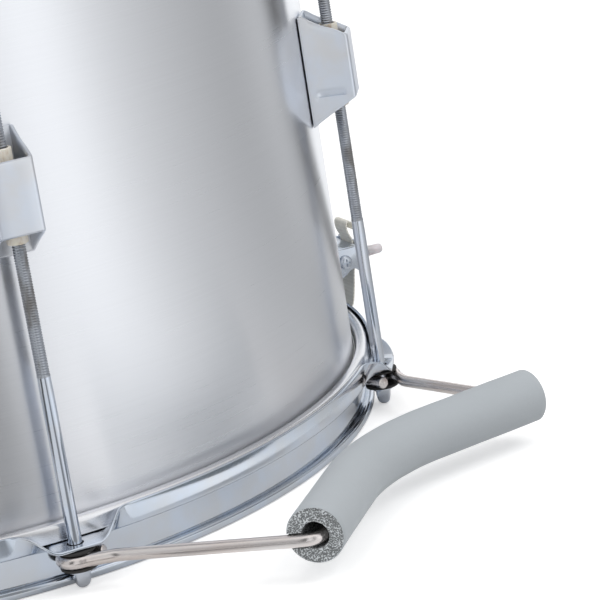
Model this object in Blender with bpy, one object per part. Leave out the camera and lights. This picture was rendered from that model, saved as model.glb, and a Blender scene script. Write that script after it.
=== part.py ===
"""A marching drum with an aluminium shell, six folded lugs, two steel hoops and a padded knee rest.

Run it with: blender --background --python part.py

Sizes are in millimetres and become metres in the meshes. The origin is the centre of the batter head's
playing face, +Z is up along the drum's axis, and the knee rest is at the front, towards -Y. Heights that
both ends share are written as a distance from the middle of the shell.
"""

import math

import bmesh
import bpy
from mathutils import Matrix, Vector

MM = 0.001

# Driving dimensions: a 16 inch by 12 inch shell with six lugs.
SHELL_RADIUS = 203.2
SHELL_HALF = 152.4
SHEET_SHELL = 1.2
LUG_COUNT = 6
ROD_CIRCLE = 215.2

# Both heads: a film stretched over the shell and held by an aluminium flesh hoop.
FILM = 0.4
FILM_GAP = 0.35
HEAD_FACE = SHELL_HALF + FILM_GAP + FILM
COLLAR_END = 135.5
FLESH_IN = 204.6
FLESH_OUT = 210.0
FLESH_TOP = 132.2
FLESH_BOTTOM = 139.8

# Both counter hoops: pressed from sheet, with a shoulder, a rolled rim and six folded ears.
SHEET_HOOP = 1.4
HOOP_WALL_OUT = 212.3
SHOULDER = 141.5
LOWER_WALL_OUT = 206.7
ROLL_OUT = 210.2
RIM_FACE = 158.6
EAR_REACH = 2.8
EAR_FLAT_DEG = 2.0
EAR_FOLD_DEG = 7.0

# Tension rods.
SHANK_RADIUS = 2.8
THREAD_RADIUS = 2.7
THREAD_START = 71.5
CONE_START = 77.2
ROD_TIP = 2.6
HEAD_ACROSS = 6.35
COLLAR_RADIUS = 4.5
COLLAR_THICK = 1.3
HEAD_LENGTH = 7.7
WASHER_THICK = 1.4
WASHER_RADIUS = 6.0

# Lugs.
LUG_HALF_AT_SHELL = 25.8
LUG_HALF_AT_NOSE = 13.8
LUG_DEPTH = 21.0
LUG_HALF_WIDTH = 9.5
LUG_SHEET = 1.5
LUG_GAP = 0.6
NUT_SHOULDER = 8.0
NUT_END = 18.5
NUT_HALF_DEPTH = 4.5
NUT_NECK = 4.2
NUT_BORE = 3.05

# Knee rest, across (t) and outward (r) from the middle of the two rods that carry it.
KNEE_CORNER_T = 78.0
KNEE_CORNER_R = 283.0
KNEE_CORNER_H = 141.0
KNEE_MIDDLE_R = 255.3
KNEE_MIDDLE_H = 140.7
KNEE_BEND = 5.5
KNEE_MIDDLE_BEND = 90.0
KNEE_EYE_H = 145.9
KNEE_WIRE = 2.6
KNEE_EYE_RADIUS = 6.2
KNEE_EYE_SHIFT = 0.6
KNEE_EYE_TIP = 9.0
KNEE_EYE_SWEEP_DEG = 235
KNEE_NECK = 17.0
KNEE_SEAT = 150.6
RUBBER_THICK = 1.3
RUBBER_RADIUS = 7.6
RUBBER_BORE = 3.2
FOAM_ENDS_T = (-78.3, 80.2)
FOAM_MIDDLE_R = 253.3
FOAM_SLOPE = 0.358
FOAM_RADIUS = 11.4
FOAM_BORE = 5.5
FOAM_H = 139.4
FOAM_GROOVE = 3.1
FOAM_GROOVE_START = 2.0
FOAM_GROOVE_END = 20.0

# Snares: their straps leave through a notch in the lower hoop, on the two sides.
SNARE_PHI = 60.0
STRAP_WIDTH = 13.4
STRAP_THICK = 1.0
GATE_HALF_DEG = 2.6
GATE_TOP = 144.0
STRAP_H = HEAD_FACE + 0.3 + STRAP_THICK / 2
WIRE_HALF_LENGTH = 150.0
WIRE_COUNT = 12
WIRE_SPACING = 3.4
WIRE_RADIUS = 0.8

# Screws in the shell, their heads inside it. A pair side by side sits deeper in the curve.
SCREW_HOLE = 2.5
SCREW_SHANK = 1.9
SCREW_SEAT = -SHEET_SHELL - 0.9
PAIR_SEAT = -SHEET_SHELL - 1.8
LUG_SCREW_Z = 15.0
VENT_PHI = 180.0
VENT_RADIUS = 6.0

# Butt and strainer, each in its own frame: x outward from the shell, z up from the flesh hoop's edge.
LEVEL = -FLESH_TOP
CLAMP_X = 23.4
CLAMP_SCREW_Y = 9.2
CLAMP_HOLE = 2.2
BUTT_CHEEK = 15.0
BUTT_SHEET = 1.6
BUTT_TOP = 23.4
BUTT_JAW_X = 14.0
BUTT_JAW_Z = 17.0
BUTT_CLAMP_Z = 18.0
BUTT_SCREW_Y = 8.0
BUTT_SCREW_Z = 12.0
CAP_START = CLAMP_X + 5.5
CAP_END = CLAMP_X + 13.6
CAP_RADIUS = 2.6
CAP_BORE = 2.15
STRAINER_SCREWS = (20.0, 70.0)
BASE_LOW = 14.0
BASE_HIGH = 78.0
CHEEK_IN = 14.0
CHEEK_OUT = 16.0
PIVOT_X = 10.0
PIVOT_Z = 66.0
PIVOT_RADIUS = 2.0
THROW = 6.0
CRANK = THROW / 2
CRANK_PIN = 1.3
HUB_HALF = 11.9
CARRIAGE_LOW = 26.0
CARRIAGE_HIGH = 52.0
CARRIAGE_HALF = 13.6
ARM_IN = 12.3
ARM_TOP = 72.5
KNOB_X = 13.0
BLOCK_LOW = 33.0
BLOCK_HIGH = 47.0
BLOCK_HALF = 12.0

# Sling ring and its bracket, under the upper hoop at the front.
SLING_PHI = 0.0
SLING_Z = 100.0
SLING_SCREW_Y = 12.0
SLING_SCREW_RISE = 6.0
RING_WIRE = 2.0
RING_X = 6.0
RING_PIVOT = SLING_Z - 4.0
RING_HALF_WIDTH = 12.0
RING_DEPTH = 24.0
RING_PIN_END = 19.5

# Steps round the circle, the least gap between two pieces, and the height of the middle of the shell.
ROUND_STEPS = 48
GAP = 0.3
MID_Z = -HEAD_FACE
UP = Vector((0, 0, 1))


def clear_scene():
    """Empties the startup scene."""
    for obj in list(bpy.data.objects):
        bpy.data.objects.remove(obj, do_unlink=True)


def finish(name, colour, metallic, roughness, alpha=1.0):
    """A Principled material of one colour."""
    material = bpy.data.materials.new(name)
    material.use_nodes = True
    shader = material.node_tree.nodes["Principled BSDF"]
    shader.inputs["Base Color"].default_value = (*colour, 1.0)
    shader.inputs["Metallic"].default_value = metallic
    shader.inputs["Roughness"].default_value = roughness
    shader.inputs["Alpha"].default_value = alpha
    return material


def make_finishes():
    """Every finish on the drum, by name."""
    return {
        "aluminium": finish("aluminium", (0.78, 0.79, 0.81), 1.0, 0.38),
        "flesh_aluminium": finish("flesh_aluminium", (0.84, 0.84, 0.85), 1.0, 0.25),
        "chrome": finish("chrome", (0.72, 0.75, 0.79), 1.0, 0.12),
        "zinc": finish("zinc", (0.45, 0.48, 0.53), 1.0, 0.35),
        "lug_steel": finish("lug_steel", (0.66, 0.69, 0.73), 1.0, 0.3),
        "stainless": finish("stainless", (0.56, 0.53, 0.51), 1.0, 0.28),
        "foam": finish("foam", (0.40, 0.43, 0.44), 0.0, 0.8),
        "film": finish("film", (0.85, 0.85, 0.83), 0.0, 0.45),
        "cream": finish("cream", (0.72, 0.68, 0.55), 0.0, 0.6),
        "rubber": finish("rubber", (0.02, 0.02, 0.02), 0.0, 0.6),
        "clear_cap": finish("clear_cap", (0.85, 0.80, 0.80), 0.0, 0.3),
        "brass": finish("brass", (0.75, 0.60, 0.30), 1.0, 0.3),
    }


def make_object(name, bm, material):
    """Turns the bmesh, in millimetres, into a named object in metres."""
    bmesh.ops.recalc_face_normals(bm, faces=bm.faces)
    bmesh.ops.scale(bm, vec=(MM, MM, MM), verts=bm.verts)
    mesh = bpy.data.meshes.new(name)
    bm.to_mesh(mesh)
    bm.free()
    mesh.shade_smooth()
    mesh.set_sharp_from_angle(angle=math.radians(35))
    mesh.materials.append(material)
    obj = bpy.data.objects.new(name, mesh)
    bpy.context.scene.collection.objects.link(obj)
    return obj


def cutter(name, bm):
    """An object that only cuts others, and doesn't render."""
    obj = make_object(name, bm, bpy.data.materials["rubber"])
    obj.hide_render = True
    obj.display_type = "WIRE"
    return obj


def boolean(obj, other, operation):
    """Adds an exact Boolean to the object."""
    modifier = obj.modifiers.new(other.name, "BOOLEAN")
    modifier.operation = operation
    modifier.solver = "EXACT"
    modifier.object = other


def radial(phi_deg):
    """Unit vector from the axis outward at an angle counted from the front, -Y, towards +X."""
    phi = math.radians(phi_deg)
    return Vector((math.sin(phi), -math.cos(phi), 0))


def place(obj, phi_deg, radius=0.0, height=0.0):
    """Puts an object so that its +X points outward at that angle, and its origin is at that radius."""
    obj.rotation_euler = (0, 0, math.radians(phi_deg - 90))
    spot = radial(phi_deg) * radius
    obj.location = (spot.x * MM, spot.y * MM, (MID_Z + height) * MM)
    return obj


def hang(obj, phi_deg, x, z):
    """Places a piece drawn in the strainer's frame, its origin moved to (x, z) of that frame."""
    obj.data.transform(Matrix.Translation((-x * MM, 0, -z * MM)))
    return place(obj, phi_deg, SHELL_RADIUS + x, LEVEL + z)


def rod_angles():
    """The angle of each rod and lug, counted from the front."""
    return [360 / LUG_COUNT * (i + 0.5) - 60 for i in range(LUG_COUNT)]


def loft(bm, loops, closed_round=False):
    """Joins equal loops of points with quads, and caps the first and last."""
    rings = [[bm.verts.new(point) for point in loop] for loop in loops]
    count = len(rings[0])
    pairs = list(zip(rings, rings[1:]))
    if closed_round:
        pairs.append((rings[-1], rings[0]))
    for ring_a, ring_b in pairs:
        for i in range(count):
            j = (i + 1) % count
            bm.faces.new((ring_a[i], ring_a[j], ring_b[j], ring_b[i]))
    if not closed_round:
        bm.faces.new(rings[0])
        bm.faces.new(rings[-1])


def lathe_ring(bm, section, angles):
    """Turns a closed section, (radius, z), round the axis. The section may change with the angle."""
    loops = []
    for phi in angles:
        points = section(phi) if callable(section) else section
        loops.append([radial(phi) * r + Vector((0, 0, z)) for r, z in points])
    loft(bm, loops, closed_round=True)


def even_angles(steps=ROUND_STEPS):
    return [360 / steps * i for i in range(steps)]


def box(bm, x, y, z):
    """A box between the two ends of each range."""
    corners = ((x[0], y[0]), (x[1], y[0]), (x[1], y[1]), (x[0], y[1]))
    loft(bm, [[Vector((*corner, height)) for corner in corners] for height in z])


def turned(bm, profile, steps, centre=(0, 0, 0), axis="Z", twist=0.0):
    """A solid turned from (distance along the axis, radius) points, with flat ends."""
    across = {"Z": (Vector((1, 0, 0)), Vector((0, 1, 0)), Vector((0, 0, 1)))}
    across["X"] = (Vector((0, 1, 0)), Vector((0, 0, 1)), Vector((1, 0, 0)))
    across["Y"] = (Vector((0, 0, 1)), Vector((1, 0, 0)), Vector((0, 1, 0)))
    u, v, w = across[axis]
    loops = []
    for along, radius in profile:
        loop = []
        for i in range(steps):
            angle = 2 * math.pi * i / steps + twist
            loop.append(Vector(centre) + w * along + (u * math.cos(angle) + v * math.sin(angle)) * radius)
        loops.append(loop)
    loft(bm, loops)


def tube_loops(path, radius, steps, up=UP):
    """Rings of points round a path of points, square to it."""
    loops = []
    for i, point in enumerate(path):
        ahead = path[min(i + 1, len(path) - 1)] - path[max(i - 1, 0)]
        side = ahead.cross(up).normalized()
        lift = side.cross(ahead).normalized()
        turn = [2 * math.pi * k / steps for k in range(steps)]
        loops.append([point + (side * math.cos(a) + lift * math.sin(a)) * radius for a in turn])
    return loops


def arc_corner(before, corner, after, radius, steps):
    """Points of an arc of that radius that rounds a corner."""
    to_before = (before - corner).normalized()
    to_after = (after - corner).normalized()
    opening = to_before.angle(to_after)
    reach = radius / math.tan(opening / 2)
    centre = corner + (to_before + to_after).normalized() * radius / math.sin(opening / 2)
    start = corner + to_before * reach - centre
    end = corner + to_after * reach - centre
    sweep = start.angle(end)
    points = []
    for i in range(steps + 1):
        s = i / steps
        mix = start * math.sin((1 - s) * sweep) + end * math.sin(s * sweep)
        points.append(centre + mix / math.sin(sweep))
    return points


# Shell and heads


def shell_section():
    """The sheet's closed section, its ends turned in over the bearing edges."""
    r, h, t = SHELL_RADIUS, SHELL_HALF, SHEET_SHELL
    outer = [(r, h - 3.6), (r - 3.2, h), (r - 11.0, h - 1.0)]
    inner = [(r - 11.0, h - 1.0 - t), (r - 3.7, h - t), (r - t, h - 4.1)]
    upper = outer + inner
    lower = [(radius, -z) for radius, z in reversed(upper)]
    return upper + lower


def make_shell(finishes):
    """The shell, with the holes for every screw and for the vent."""
    bm = bmesh.new()
    lathe_ring(bm, shell_section(), even_angles())
    shell = place(make_object("shell", bm, finishes["aluminium"]), 90)
    holes = bmesh.new()
    for phi, z, radius in shell_holes():
        out = radial(phi)
        side = Vector((-out.y, out.x, 0))
        loops = []
        for depth in (SHELL_RADIUS - 12, SHELL_RADIUS + 8):
            middle = out * depth + Vector((0, 0, z))
            turn = [2 * math.pi * k / 10 for k in range(10)]
            loops.append([middle + (side * math.cos(a) + UP * math.sin(a)) * radius for a in turn])
        loft(holes, loops)
    boolean(shell, place(cutter("shell_holes", holes), 90), "DIFFERENCE")
    return shell


def shell_holes():
    """(angle, height, radius) of each hole in the shell."""
    holes = [(VENT_PHI, 0.0, VENT_RADIUS)]
    for phi in rod_angles():
        holes += [(phi, side * LUG_SCREW_Z, SCREW_HOLE) for side in (-1, 1)]
    sling_pair = (SLING_PHI, SLING_Z + SLING_SCREW_RISE, SLING_SCREW_Y)
    butt_pair = (SNARE_PHI, LEVEL + BUTT_SCREW_Z, BUTT_SCREW_Y)
    for phi, height, apart in (sling_pair, butt_pair):
        across = math.degrees(math.asin(apart / SHELL_RADIUS))
        holes += [(phi + side * across, height, SCREW_HOLE) for side in (-1, 1)]
    holes += [(SNARE_PHI + 180, LEVEL + z, SCREW_HOLE) for z in STRAINER_SCREWS]
    return holes


def make_vent(finishes):
    """A brass eyelet that lines the vent hole."""
    bm = bmesh.new()
    x0 = -SHEET_SHELL - 2.0
    x1 = 1.4
    r_hole = VENT_RADIUS - 2 * GAP
    r_flange = VENT_RADIUS + 2.2
    bore = r_hole - 1.0
    outer = [(x0, r_flange), (x0 + 0.8, r_flange), (x0 + 0.8, r_hole), (x1 - 1.0, r_hole)]
    outer += [(x1 - 1.0, r_flange), (x1, r_flange - 0.4), (x1, bore), (x0, bore)]
    loops = []
    for k in range(12):
        a = 2 * math.pi * k / 12
        loops.append([Vector((x, r * math.cos(a), r * math.sin(a))) for x, r in outer])
    loft(bm, loops, closed_round=True)
    return place(make_object("vent_eyelet", bm, finishes["brass"]), VENT_PHI, SHELL_RADIUS)


def make_film(name, side, finishes):
    """A head's film: a flat disc whose edge turns down over the bearing edge into a collar."""
    inner_r = SHELL_RADIUS + FILM_GAP
    inner_h = SHELL_HALF + FILM_GAP
    bend = inner_r - 3.35
    outer = [(bend + 0.2, HEAD_FACE), (inner_r + FILM, HEAD_FACE - 4.0), (inner_r + FILM, COLLAR_END)]
    inner = [(inner_r, COLLAR_END), (inner_r, inner_h - 3.75), (bend, inner_h)]
    bm = bmesh.new()
    rings = []
    for r, h in outer + inner:
        rings.append([bm.verts.new(radial(phi) * r + Vector((0, 0, side * h))) for phi in even_angles()])
    for ring_a, ring_b in zip(rings, rings[1:]):
        for i in range(ROUND_STEPS):
            j = (i + 1) % ROUND_STEPS
            bm.faces.new((ring_a[i], ring_a[j], ring_b[j], ring_b[i]))
    bm.faces.new(rings[0])
    bm.faces.new(rings[-1])
    return place(make_object(name, bm, finishes["film"]), 90)


def make_flesh_hoop(name, side, finishes):
    """The aluminium ring that holds the film, rounded on the edge that shows."""
    section = [
        (FLESH_IN, FLESH_TOP + 1.5),
        (FLESH_IN + 1.5, FLESH_TOP),
        (FLESH_OUT - 1.5, FLESH_TOP),
        (FLESH_OUT, FLESH_TOP + 1.5),
        (FLESH_OUT, FLESH_BOTTOM),
        (FLESH_IN, FLESH_BOTTOM),
    ]
    bm = bmesh.new()
    lathe_ring(bm, [(r, side * h) for r, h in section], even_angles())
    return place(make_object(name, bm, finishes["flesh_aluminium"]), 90)


# Counter hoops


def fold_at(phi):
    """How far the hoop's wall is folded out at that angle, from 0 to 1."""
    away = min(abs((phi - rod + 180) % 360 - 180) for rod in rod_angles())
    s = (EAR_FOLD_DEG - away) / (EAR_FOLD_DEG - EAR_FLAT_DEG)
    s = min(max(s, 0.0), 1.0)
    return s * s * (3 - 2 * s)


def hoop_section(phi, side):
    """The hoop's closed section at that angle. Its upper wall turns about the shoulder into an ear."""
    fold = fold_at(phi)
    angle = fold * math.pi / 2
    t = SHEET_HOOP
    inner_corner = Vector((HOOP_WALL_OUT - t, SHOULDER - t))
    reach = SHOULDER - t - FLESH_TOP + EAR_REACH * fold
    along = Vector((math.sin(angle), -math.cos(angle)))
    normal = Vector((math.cos(angle), math.sin(angle)))
    tip_in = inner_corner + along * reach
    tip_out = tip_in + normal * t
    wall = LOWER_WALL_OUT
    section = [
        tuple(tip_out),
        (HOOP_WALL_OUT, SHOULDER),
        (wall, SHOULDER),
        (wall, RIM_FACE - 3.2),
        (ROLL_OUT, RIM_FACE - 2.0),
        (ROLL_OUT, RIM_FACE),
        (wall - t, RIM_FACE),
        (wall - t, SHOULDER - t),
        tuple(inner_corner),
        tuple(tip_in),
    ]
    return [(r, side * h) for r, h in section]


def hoop_angles():
    """Close steps across each ear, wide ones between the ears."""
    half_way = (EAR_FLAT_DEG + EAR_FOLD_DEG) / 2
    offsets = (0.0, EAR_FLAT_DEG, half_way, EAR_FOLD_DEG, 14.0, 22.0)
    angles = set()
    for rod in rod_angles():
        for offset in offsets:
            angles.update({round((rod + offset) % 360, 3), round((rod - offset) % 360, 3)})
        angles.add(round((rod + 30) % 360, 3))
    return sorted(angles)


def make_hoop(name, side, finishes):
    """A counter hoop, with a hole in each ear and, below, a notch for each snare strap."""
    bm = bmesh.new()
    lathe_ring(bm, lambda phi: hoop_section(phi, side), hoop_angles())
    hoop = place(make_object(name, bm, finishes["chrome"]), 90)
    holes = bmesh.new()
    for phi in rod_angles():
        spot = radial(phi) * ROD_CIRCLE
        low, high = sorted((side * (SHOULDER - 6), side * (SHOULDER + 6)))
        turned(holes, [(low, SHANK_RADIUS + 0.6), (high, SHANK_RADIUS + 0.6)], 8, (spot.x, spot.y, 0))
    boolean(hoop, place(cutter(name + "_holes", holes), 90), "DIFFERENCE")
    if side < 0:
        gates = bmesh.new()
        for phi in (SNARE_PHI, SNARE_PHI + 180):
            sides = (radial(phi - GATE_HALF_DEG), radial(phi + GATE_HALF_DEG))
            corners = (sides[0] * 200, sides[1] * 200, sides[1] * 216, sides[0] * 216)
            loft(gates, [[corner - UP * h for corner in corners] for h in (GATE_TOP, RIM_FACE + 5)])
        boolean(hoop, place(cutter(name + "_gates", gates), 90), "DIFFERENCE")
    return hoop


# Tension rods and washers


def rod_profile(head_seat):
    """(distance from the middle, radius) of the round stretch of a rod whose collar bears at head_seat."""
    return [
        (ROD_TIP, THREAD_RADIUS - 0.7),
        (ROD_TIP + 0.8, THREAD_RADIUS),
        (THREAD_START, THREAD_RADIUS),
        (CONE_START, SHANK_RADIUS),
        (head_seat, SHANK_RADIUS),
        (head_seat, COLLAR_RADIUS),
        (head_seat + COLLAR_THICK, COLLAR_RADIUS),
    ]


def make_rod(name, phi, side, rests, finishes):
    """A tension rod: threaded from its tip to the cone, with a collar, a square key head and its washer.

    A rod that the knee rest hangs on has rubber washers of their own instead, and is seated further out.
    """
    head_seat = KNEE_SEAT if rests else SHOULDER + GAP + WASHER_THICK
    bm = bmesh.new()
    turned(bm, [(side * along, radius) for along, radius in rod_profile(head_seat)], 8)
    rod = place(make_object(name, bm, finishes["chrome"]), phi, ROD_CIRCLE)
    rod.data.materials.append(finishes["zinc"])
    for polygon in rod.data.polygons:
        if abs(polygon.center.z) < (THREAD_START + 1) * MM:
            polygon.material_index = 1
    head = bmesh.new()
    start = head_seat + COLLAR_THICK - 0.6
    end = head_seat + HEAD_LENGTH
    corner = HEAD_ACROSS / math.sqrt(2)
    profile = [(start, corner), (end - 1.1, corner), (end, corner - 1.3)]
    turned(head, [(side * along, radius) for along, radius in profile], 4, twist=math.pi / 4)
    boolean(rod, place(cutter(name + "_head", head), phi, ROD_CIRCLE), "UNION")
    if not rests:
        washer = bmesh.new()
        ends = (head_seat - WASHER_THICK, head_seat + 0.4)
        turned(washer, [(side * along, WASHER_RADIUS) for along in ends], 10)
        boolean(rod, place(cutter(name + "_washer", washer), phi, ROD_CIRCLE), "UNION")
    return rod


def make_rubber_washer(name, phi, height, finishes):
    """A soft flat ring on a lower rod, its upper face at that distance below the middle."""
    loops = []
    low = height + RUBBER_THICK
    points = ((RUBBER_BORE, height), (RUBBER_RADIUS, height), (RUBBER_RADIUS, low), (RUBBER_BORE, low))
    for k in range(10):
        a = 2 * math.pi * k / 10
        out = Vector((math.cos(a), math.sin(a), 0))
        loops.append([out * r - UP * h for r, h in points])
    bm = bmesh.new()
    loft(bm, loops, closed_round=True)
    return place(make_object(name, bm, finishes["rubber"]), phi, ROD_CIRCLE)


# Lugs


def lug_half_height(x):
    """Half the lug's height at that distance from the shell."""
    return LUG_HALF_AT_SHELL + (LUG_HALF_AT_NOSE - LUG_HALF_AT_SHELL) * x / LUG_DEPTH


def make_lug(index, phi, finishes):
    """A lug folded from sheet into a tapered box, open above and below."""
    w, t, d, g = LUG_HALF_WIDTH, LUG_SHEET, LUG_DEPTH, LUG_GAP
    outer = [(g, -w), (d - 1.5, -w), (d, -w + 1.5), (d, w - 1.5), (d - 1.5, w), (g, w)]
    inner = [(g + t, -w + t), (d - 2, -w + t), (d - t, -w + 2), (d - t, w - 2), (d - 2, w - t)]
    inner.append((g + t, w - t))
    loops = []
    for points, side in ((outer, 1), (outer, -1), (inner, -1), (inner, 1)):
        loops.append([Vector((x, y, side * lug_half_height(x))) for x, y in points])
    bm = bmesh.new()
    loft(bm, loops, closed_round=True)
    lug = place(make_object(f"lug_{index}", bm, finishes["lug_steel"]), phi, SHELL_RADIUS)
    screws = bmesh.new()
    for side in (-1, 1):
        pan_screw(screws, SCREW_SEAT, 3.4, 0, side * LUG_SCREW_Z)
    boolean(lug, place(cutter(f"lug_{index}_screws", screws), phi, SHELL_RADIUS), "UNION")
    return lug


def make_nut(index, phi, finishes):
    """The sleeve nut in a lug, which both rods screw into: a square body between two round necks."""
    half = LUG_HALF_WIDTH - LUG_SHEET - 0.4
    depth = NUT_HALF_DEPTH
    bm = bmesh.new()
    box(bm, (-depth, depth), (-half, half), (-NUT_SHOULDER, NUT_SHOULDER))
    nut = place(make_object(f"sleeve_nut_{index}", bm, finishes["cream"]), phi, ROD_CIRCLE)
    necks = bmesh.new()
    turned(necks, [(-NUT_END, NUT_NECK), (NUT_END, NUT_NECK)], 10)
    boolean(nut, place(cutter(f"nut_necks_{index}", necks), phi, ROD_CIRCLE), "UNION")
    bore = bmesh.new()
    turned(bore, [(-NUT_END - 2, NUT_BORE), (NUT_END + 2, NUT_BORE)], 8)
    boolean(nut, place(cutter(f"nut_bore_{index}", bore), phi, ROD_CIRCLE), "DIFFERENCE")
    return nut


def pan_screw(bm, head_x, tip_x, y, z):
    """A screw along X: a low round head at head_x, its shank ending at tip_x."""
    way = 1 if tip_x > head_x else -1
    profile = [(head_x - way * 2.2, 3.0), (head_x, 4.0), (head_x, SCREW_SHANK), (tip_x, SCREW_SHANK)]
    turned(bm, profile, 8, (0, y, z), "X")


# Knee rest


def knee_point(t, r, h):
    """A point of the knee rest: t across, r outward at the front, h below the middle."""
    return Vector((t, -r, -h))


def eye_path(side):
    """The open eye round a rod, from its cut end on the inner side to where the arm leaves it."""
    rod = knee_point(side * ROD_CIRCLE * 0.5, ROD_CIRCLE * math.cos(math.pi / 6), KNEE_EYE_H)
    corner = knee_point(side * KNEE_CORNER_T, KNEE_CORNER_R, KNEE_CORNER_H)
    heading = (corner - rod).xy.to_3d().normalized()
    inward = Vector((-heading.y, heading.x, 0)) * -side
    centre = rod - inward * KNEE_EYE_SHIFT
    points = [centre + inward * KNEE_EYE_RADIUS + heading * KNEE_EYE_TIP]
    for k in range(9):
        a = math.radians(k * KNEE_EYE_SWEEP_DEG / 8)
        points.append(centre + (inward * math.cos(a) - heading * math.sin(a)) * KNEE_EYE_RADIUS)
    return points, rod, heading


def knee_wire_path():
    """The wire's centre line, from one eye through the foam to the other."""
    corners = [knee_point(side * KNEE_CORNER_T, KNEE_CORNER_R, KNEE_CORNER_H) for side in (-1, 1)]
    middle = knee_point(0, KNEE_MIDDLE_R, KNEE_MIDDLE_H)
    halves = []
    for side, corner in zip((-1, 1), corners):
        eye, rod, heading = eye_path(side)
        neck = rod + heading * KNEE_NECK
        neck.z += (corner.z - rod.z) * 0.1
        bend = arc_corner(neck, corner, middle, KNEE_BEND, 4)
        straight = [neck.lerp(bend[0], 0.5)]
        halves.append(eye + [neck] + straight + bend)
    centre = arc_corner(corners[0], middle, corners[1], KNEE_MIDDLE_BEND, 6)
    return halves[0] + centre + list(reversed(halves[1]))


def groove_loops(side):
    """The open groove in one end of the foam that the wire's arm lies in, round along its inner side."""
    _, rod, _ = eye_path(side)
    corner = knee_point(side * KNEE_CORNER_T, KNEE_CORNER_R, KNEE_CORNER_H)
    arm = (rod - corner).normalized()
    leg = Vector((side, -FOAM_SLOPE, 0))
    outward = (leg - arm * leg.dot(arm)).normalized()
    lift = arm.cross(outward)
    loops = []
    for along in (FOAM_GROOVE_START, FOAM_GROOVE_END):
        spot = corner + arm * along
        loop = [spot + outward * FOAM_GROOVE_END + lift * FOAM_GROOVE]
        for k in range(9):
            a = math.pi * k / 8
            loop.append(spot + (lift * math.cos(a) - outward * math.sin(a)) * FOAM_GROOVE)
        loop.append(spot + outward * FOAM_GROOVE_END - lift * FOAM_GROOVE)
        loops.append(loop)
    return loops


def make_knee_rest(finishes):
    """The bent wire and the foam tube on it, which the wire leaves through a groove in each end."""
    bm = bmesh.new()
    loft(bm, tube_loops(knee_wire_path(), KNEE_WIRE, 8))
    wire = place(make_object("knee_rest_wire", bm, finishes["stainless"]), 90)
    ends = [knee_point(end, FOAM_MIDDLE_R + FOAM_SLOPE * abs(end), FOAM_H) for end in FOAM_ENDS_T]
    middle = knee_point(0, FOAM_MIDDLE_R, FOAM_H)
    bend = arc_corner(ends[0], middle, ends[1], KNEE_MIDDLE_BEND, 6)
    path = [ends[0], ends[0].lerp(bend[0], 0.5)] + bend + [bend[-1].lerp(ends[1], 0.5), ends[1]]
    outer = tube_loops(path, FOAM_RADIUS, 16)
    inner = tube_loops(path, FOAM_BORE, 16)
    bm = bmesh.new()
    loft(bm, outer + list(reversed(inner)), closed_round=True)
    foam = place(make_object("knee_rest_foam", bm, finishes["foam"]), 90)
    for side in (-1, 1):
        groove = bmesh.new()
        loft(groove, groove_loops(side))
        boolean(foam, place(cutter(f"foam_groove_{side}", groove), 90), "DIFFERENCE")
    return wire, foam


# Snares, butt and strainer


def ribbon(bm, centre_line, width, thick):
    """A flat strip along points (x, z) in the local frame, its width along Y."""
    loops = []
    for i, (x, z) in enumerate(centre_line):
        x_a, z_a = centre_line[max(i - 1, 0)]
        x_b, z_b = centre_line[min(i + 1, len(centre_line) - 1)]
        ahead = Vector((x_b - x_a, 0, z_b - z_a)).normalized()
        normal = Vector((ahead.z, 0, -ahead.x)) * thick / 2
        mid = Vector((x, 0, z))
        side = Vector((0, width / 2, 0))
        loops.append([mid + side + normal, mid - side + normal, mid - side - normal, mid + side - normal])
    loft(bm, loops)


def strap_line():
    """The strap's centre line, out from the snares' end plate, through the gate and up to the clamp."""
    under = FLESH_TOP - STRAP_H
    start = WIRE_HALF_LENGTH + 0.4 - SHELL_RADIUS
    rise = [(5.5, 1.4), (12.0, 6.2), (18.8, 14.5), (21.0, 25.0), (21.9, 32.0), (CLAMP_X, 34.8)]
    return [(start, under), (1.0, under)] + [(x, under + z) for x, z in rise]


def make_snares(finishes):
    """The snare strands, soldered to a plate at each end."""
    height = HEAD_FACE + 0.3 + WIRE_RADIUS
    half = WIRE_COUNT * WIRE_SPACING / 2
    plates = bmesh.new()
    for side in (-1, 1):
        x = sorted((side * (WIRE_HALF_LENGTH - 10), side * WIRE_HALF_LENGTH))
        box(plates, x, (-half, half), (-height - 1.3, -height + 1.0))
    wires = place(make_object("snare_wires", plates, finishes["zinc"]), SNARE_PHI)
    strands = bmesh.new()
    for i in range(WIRE_COUNT):
        y = (i - (WIRE_COUNT - 1) / 2) * WIRE_SPACING
        reach = WIRE_HALF_LENGTH - 8
        turned(strands, [(-reach, WIRE_RADIUS), (reach, WIRE_RADIUS)], 6, (0, y, -height), "X")
    boolean(wires, place(cutter("snare_strands", strands), SNARE_PHI), "UNION")
    return wires


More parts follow.
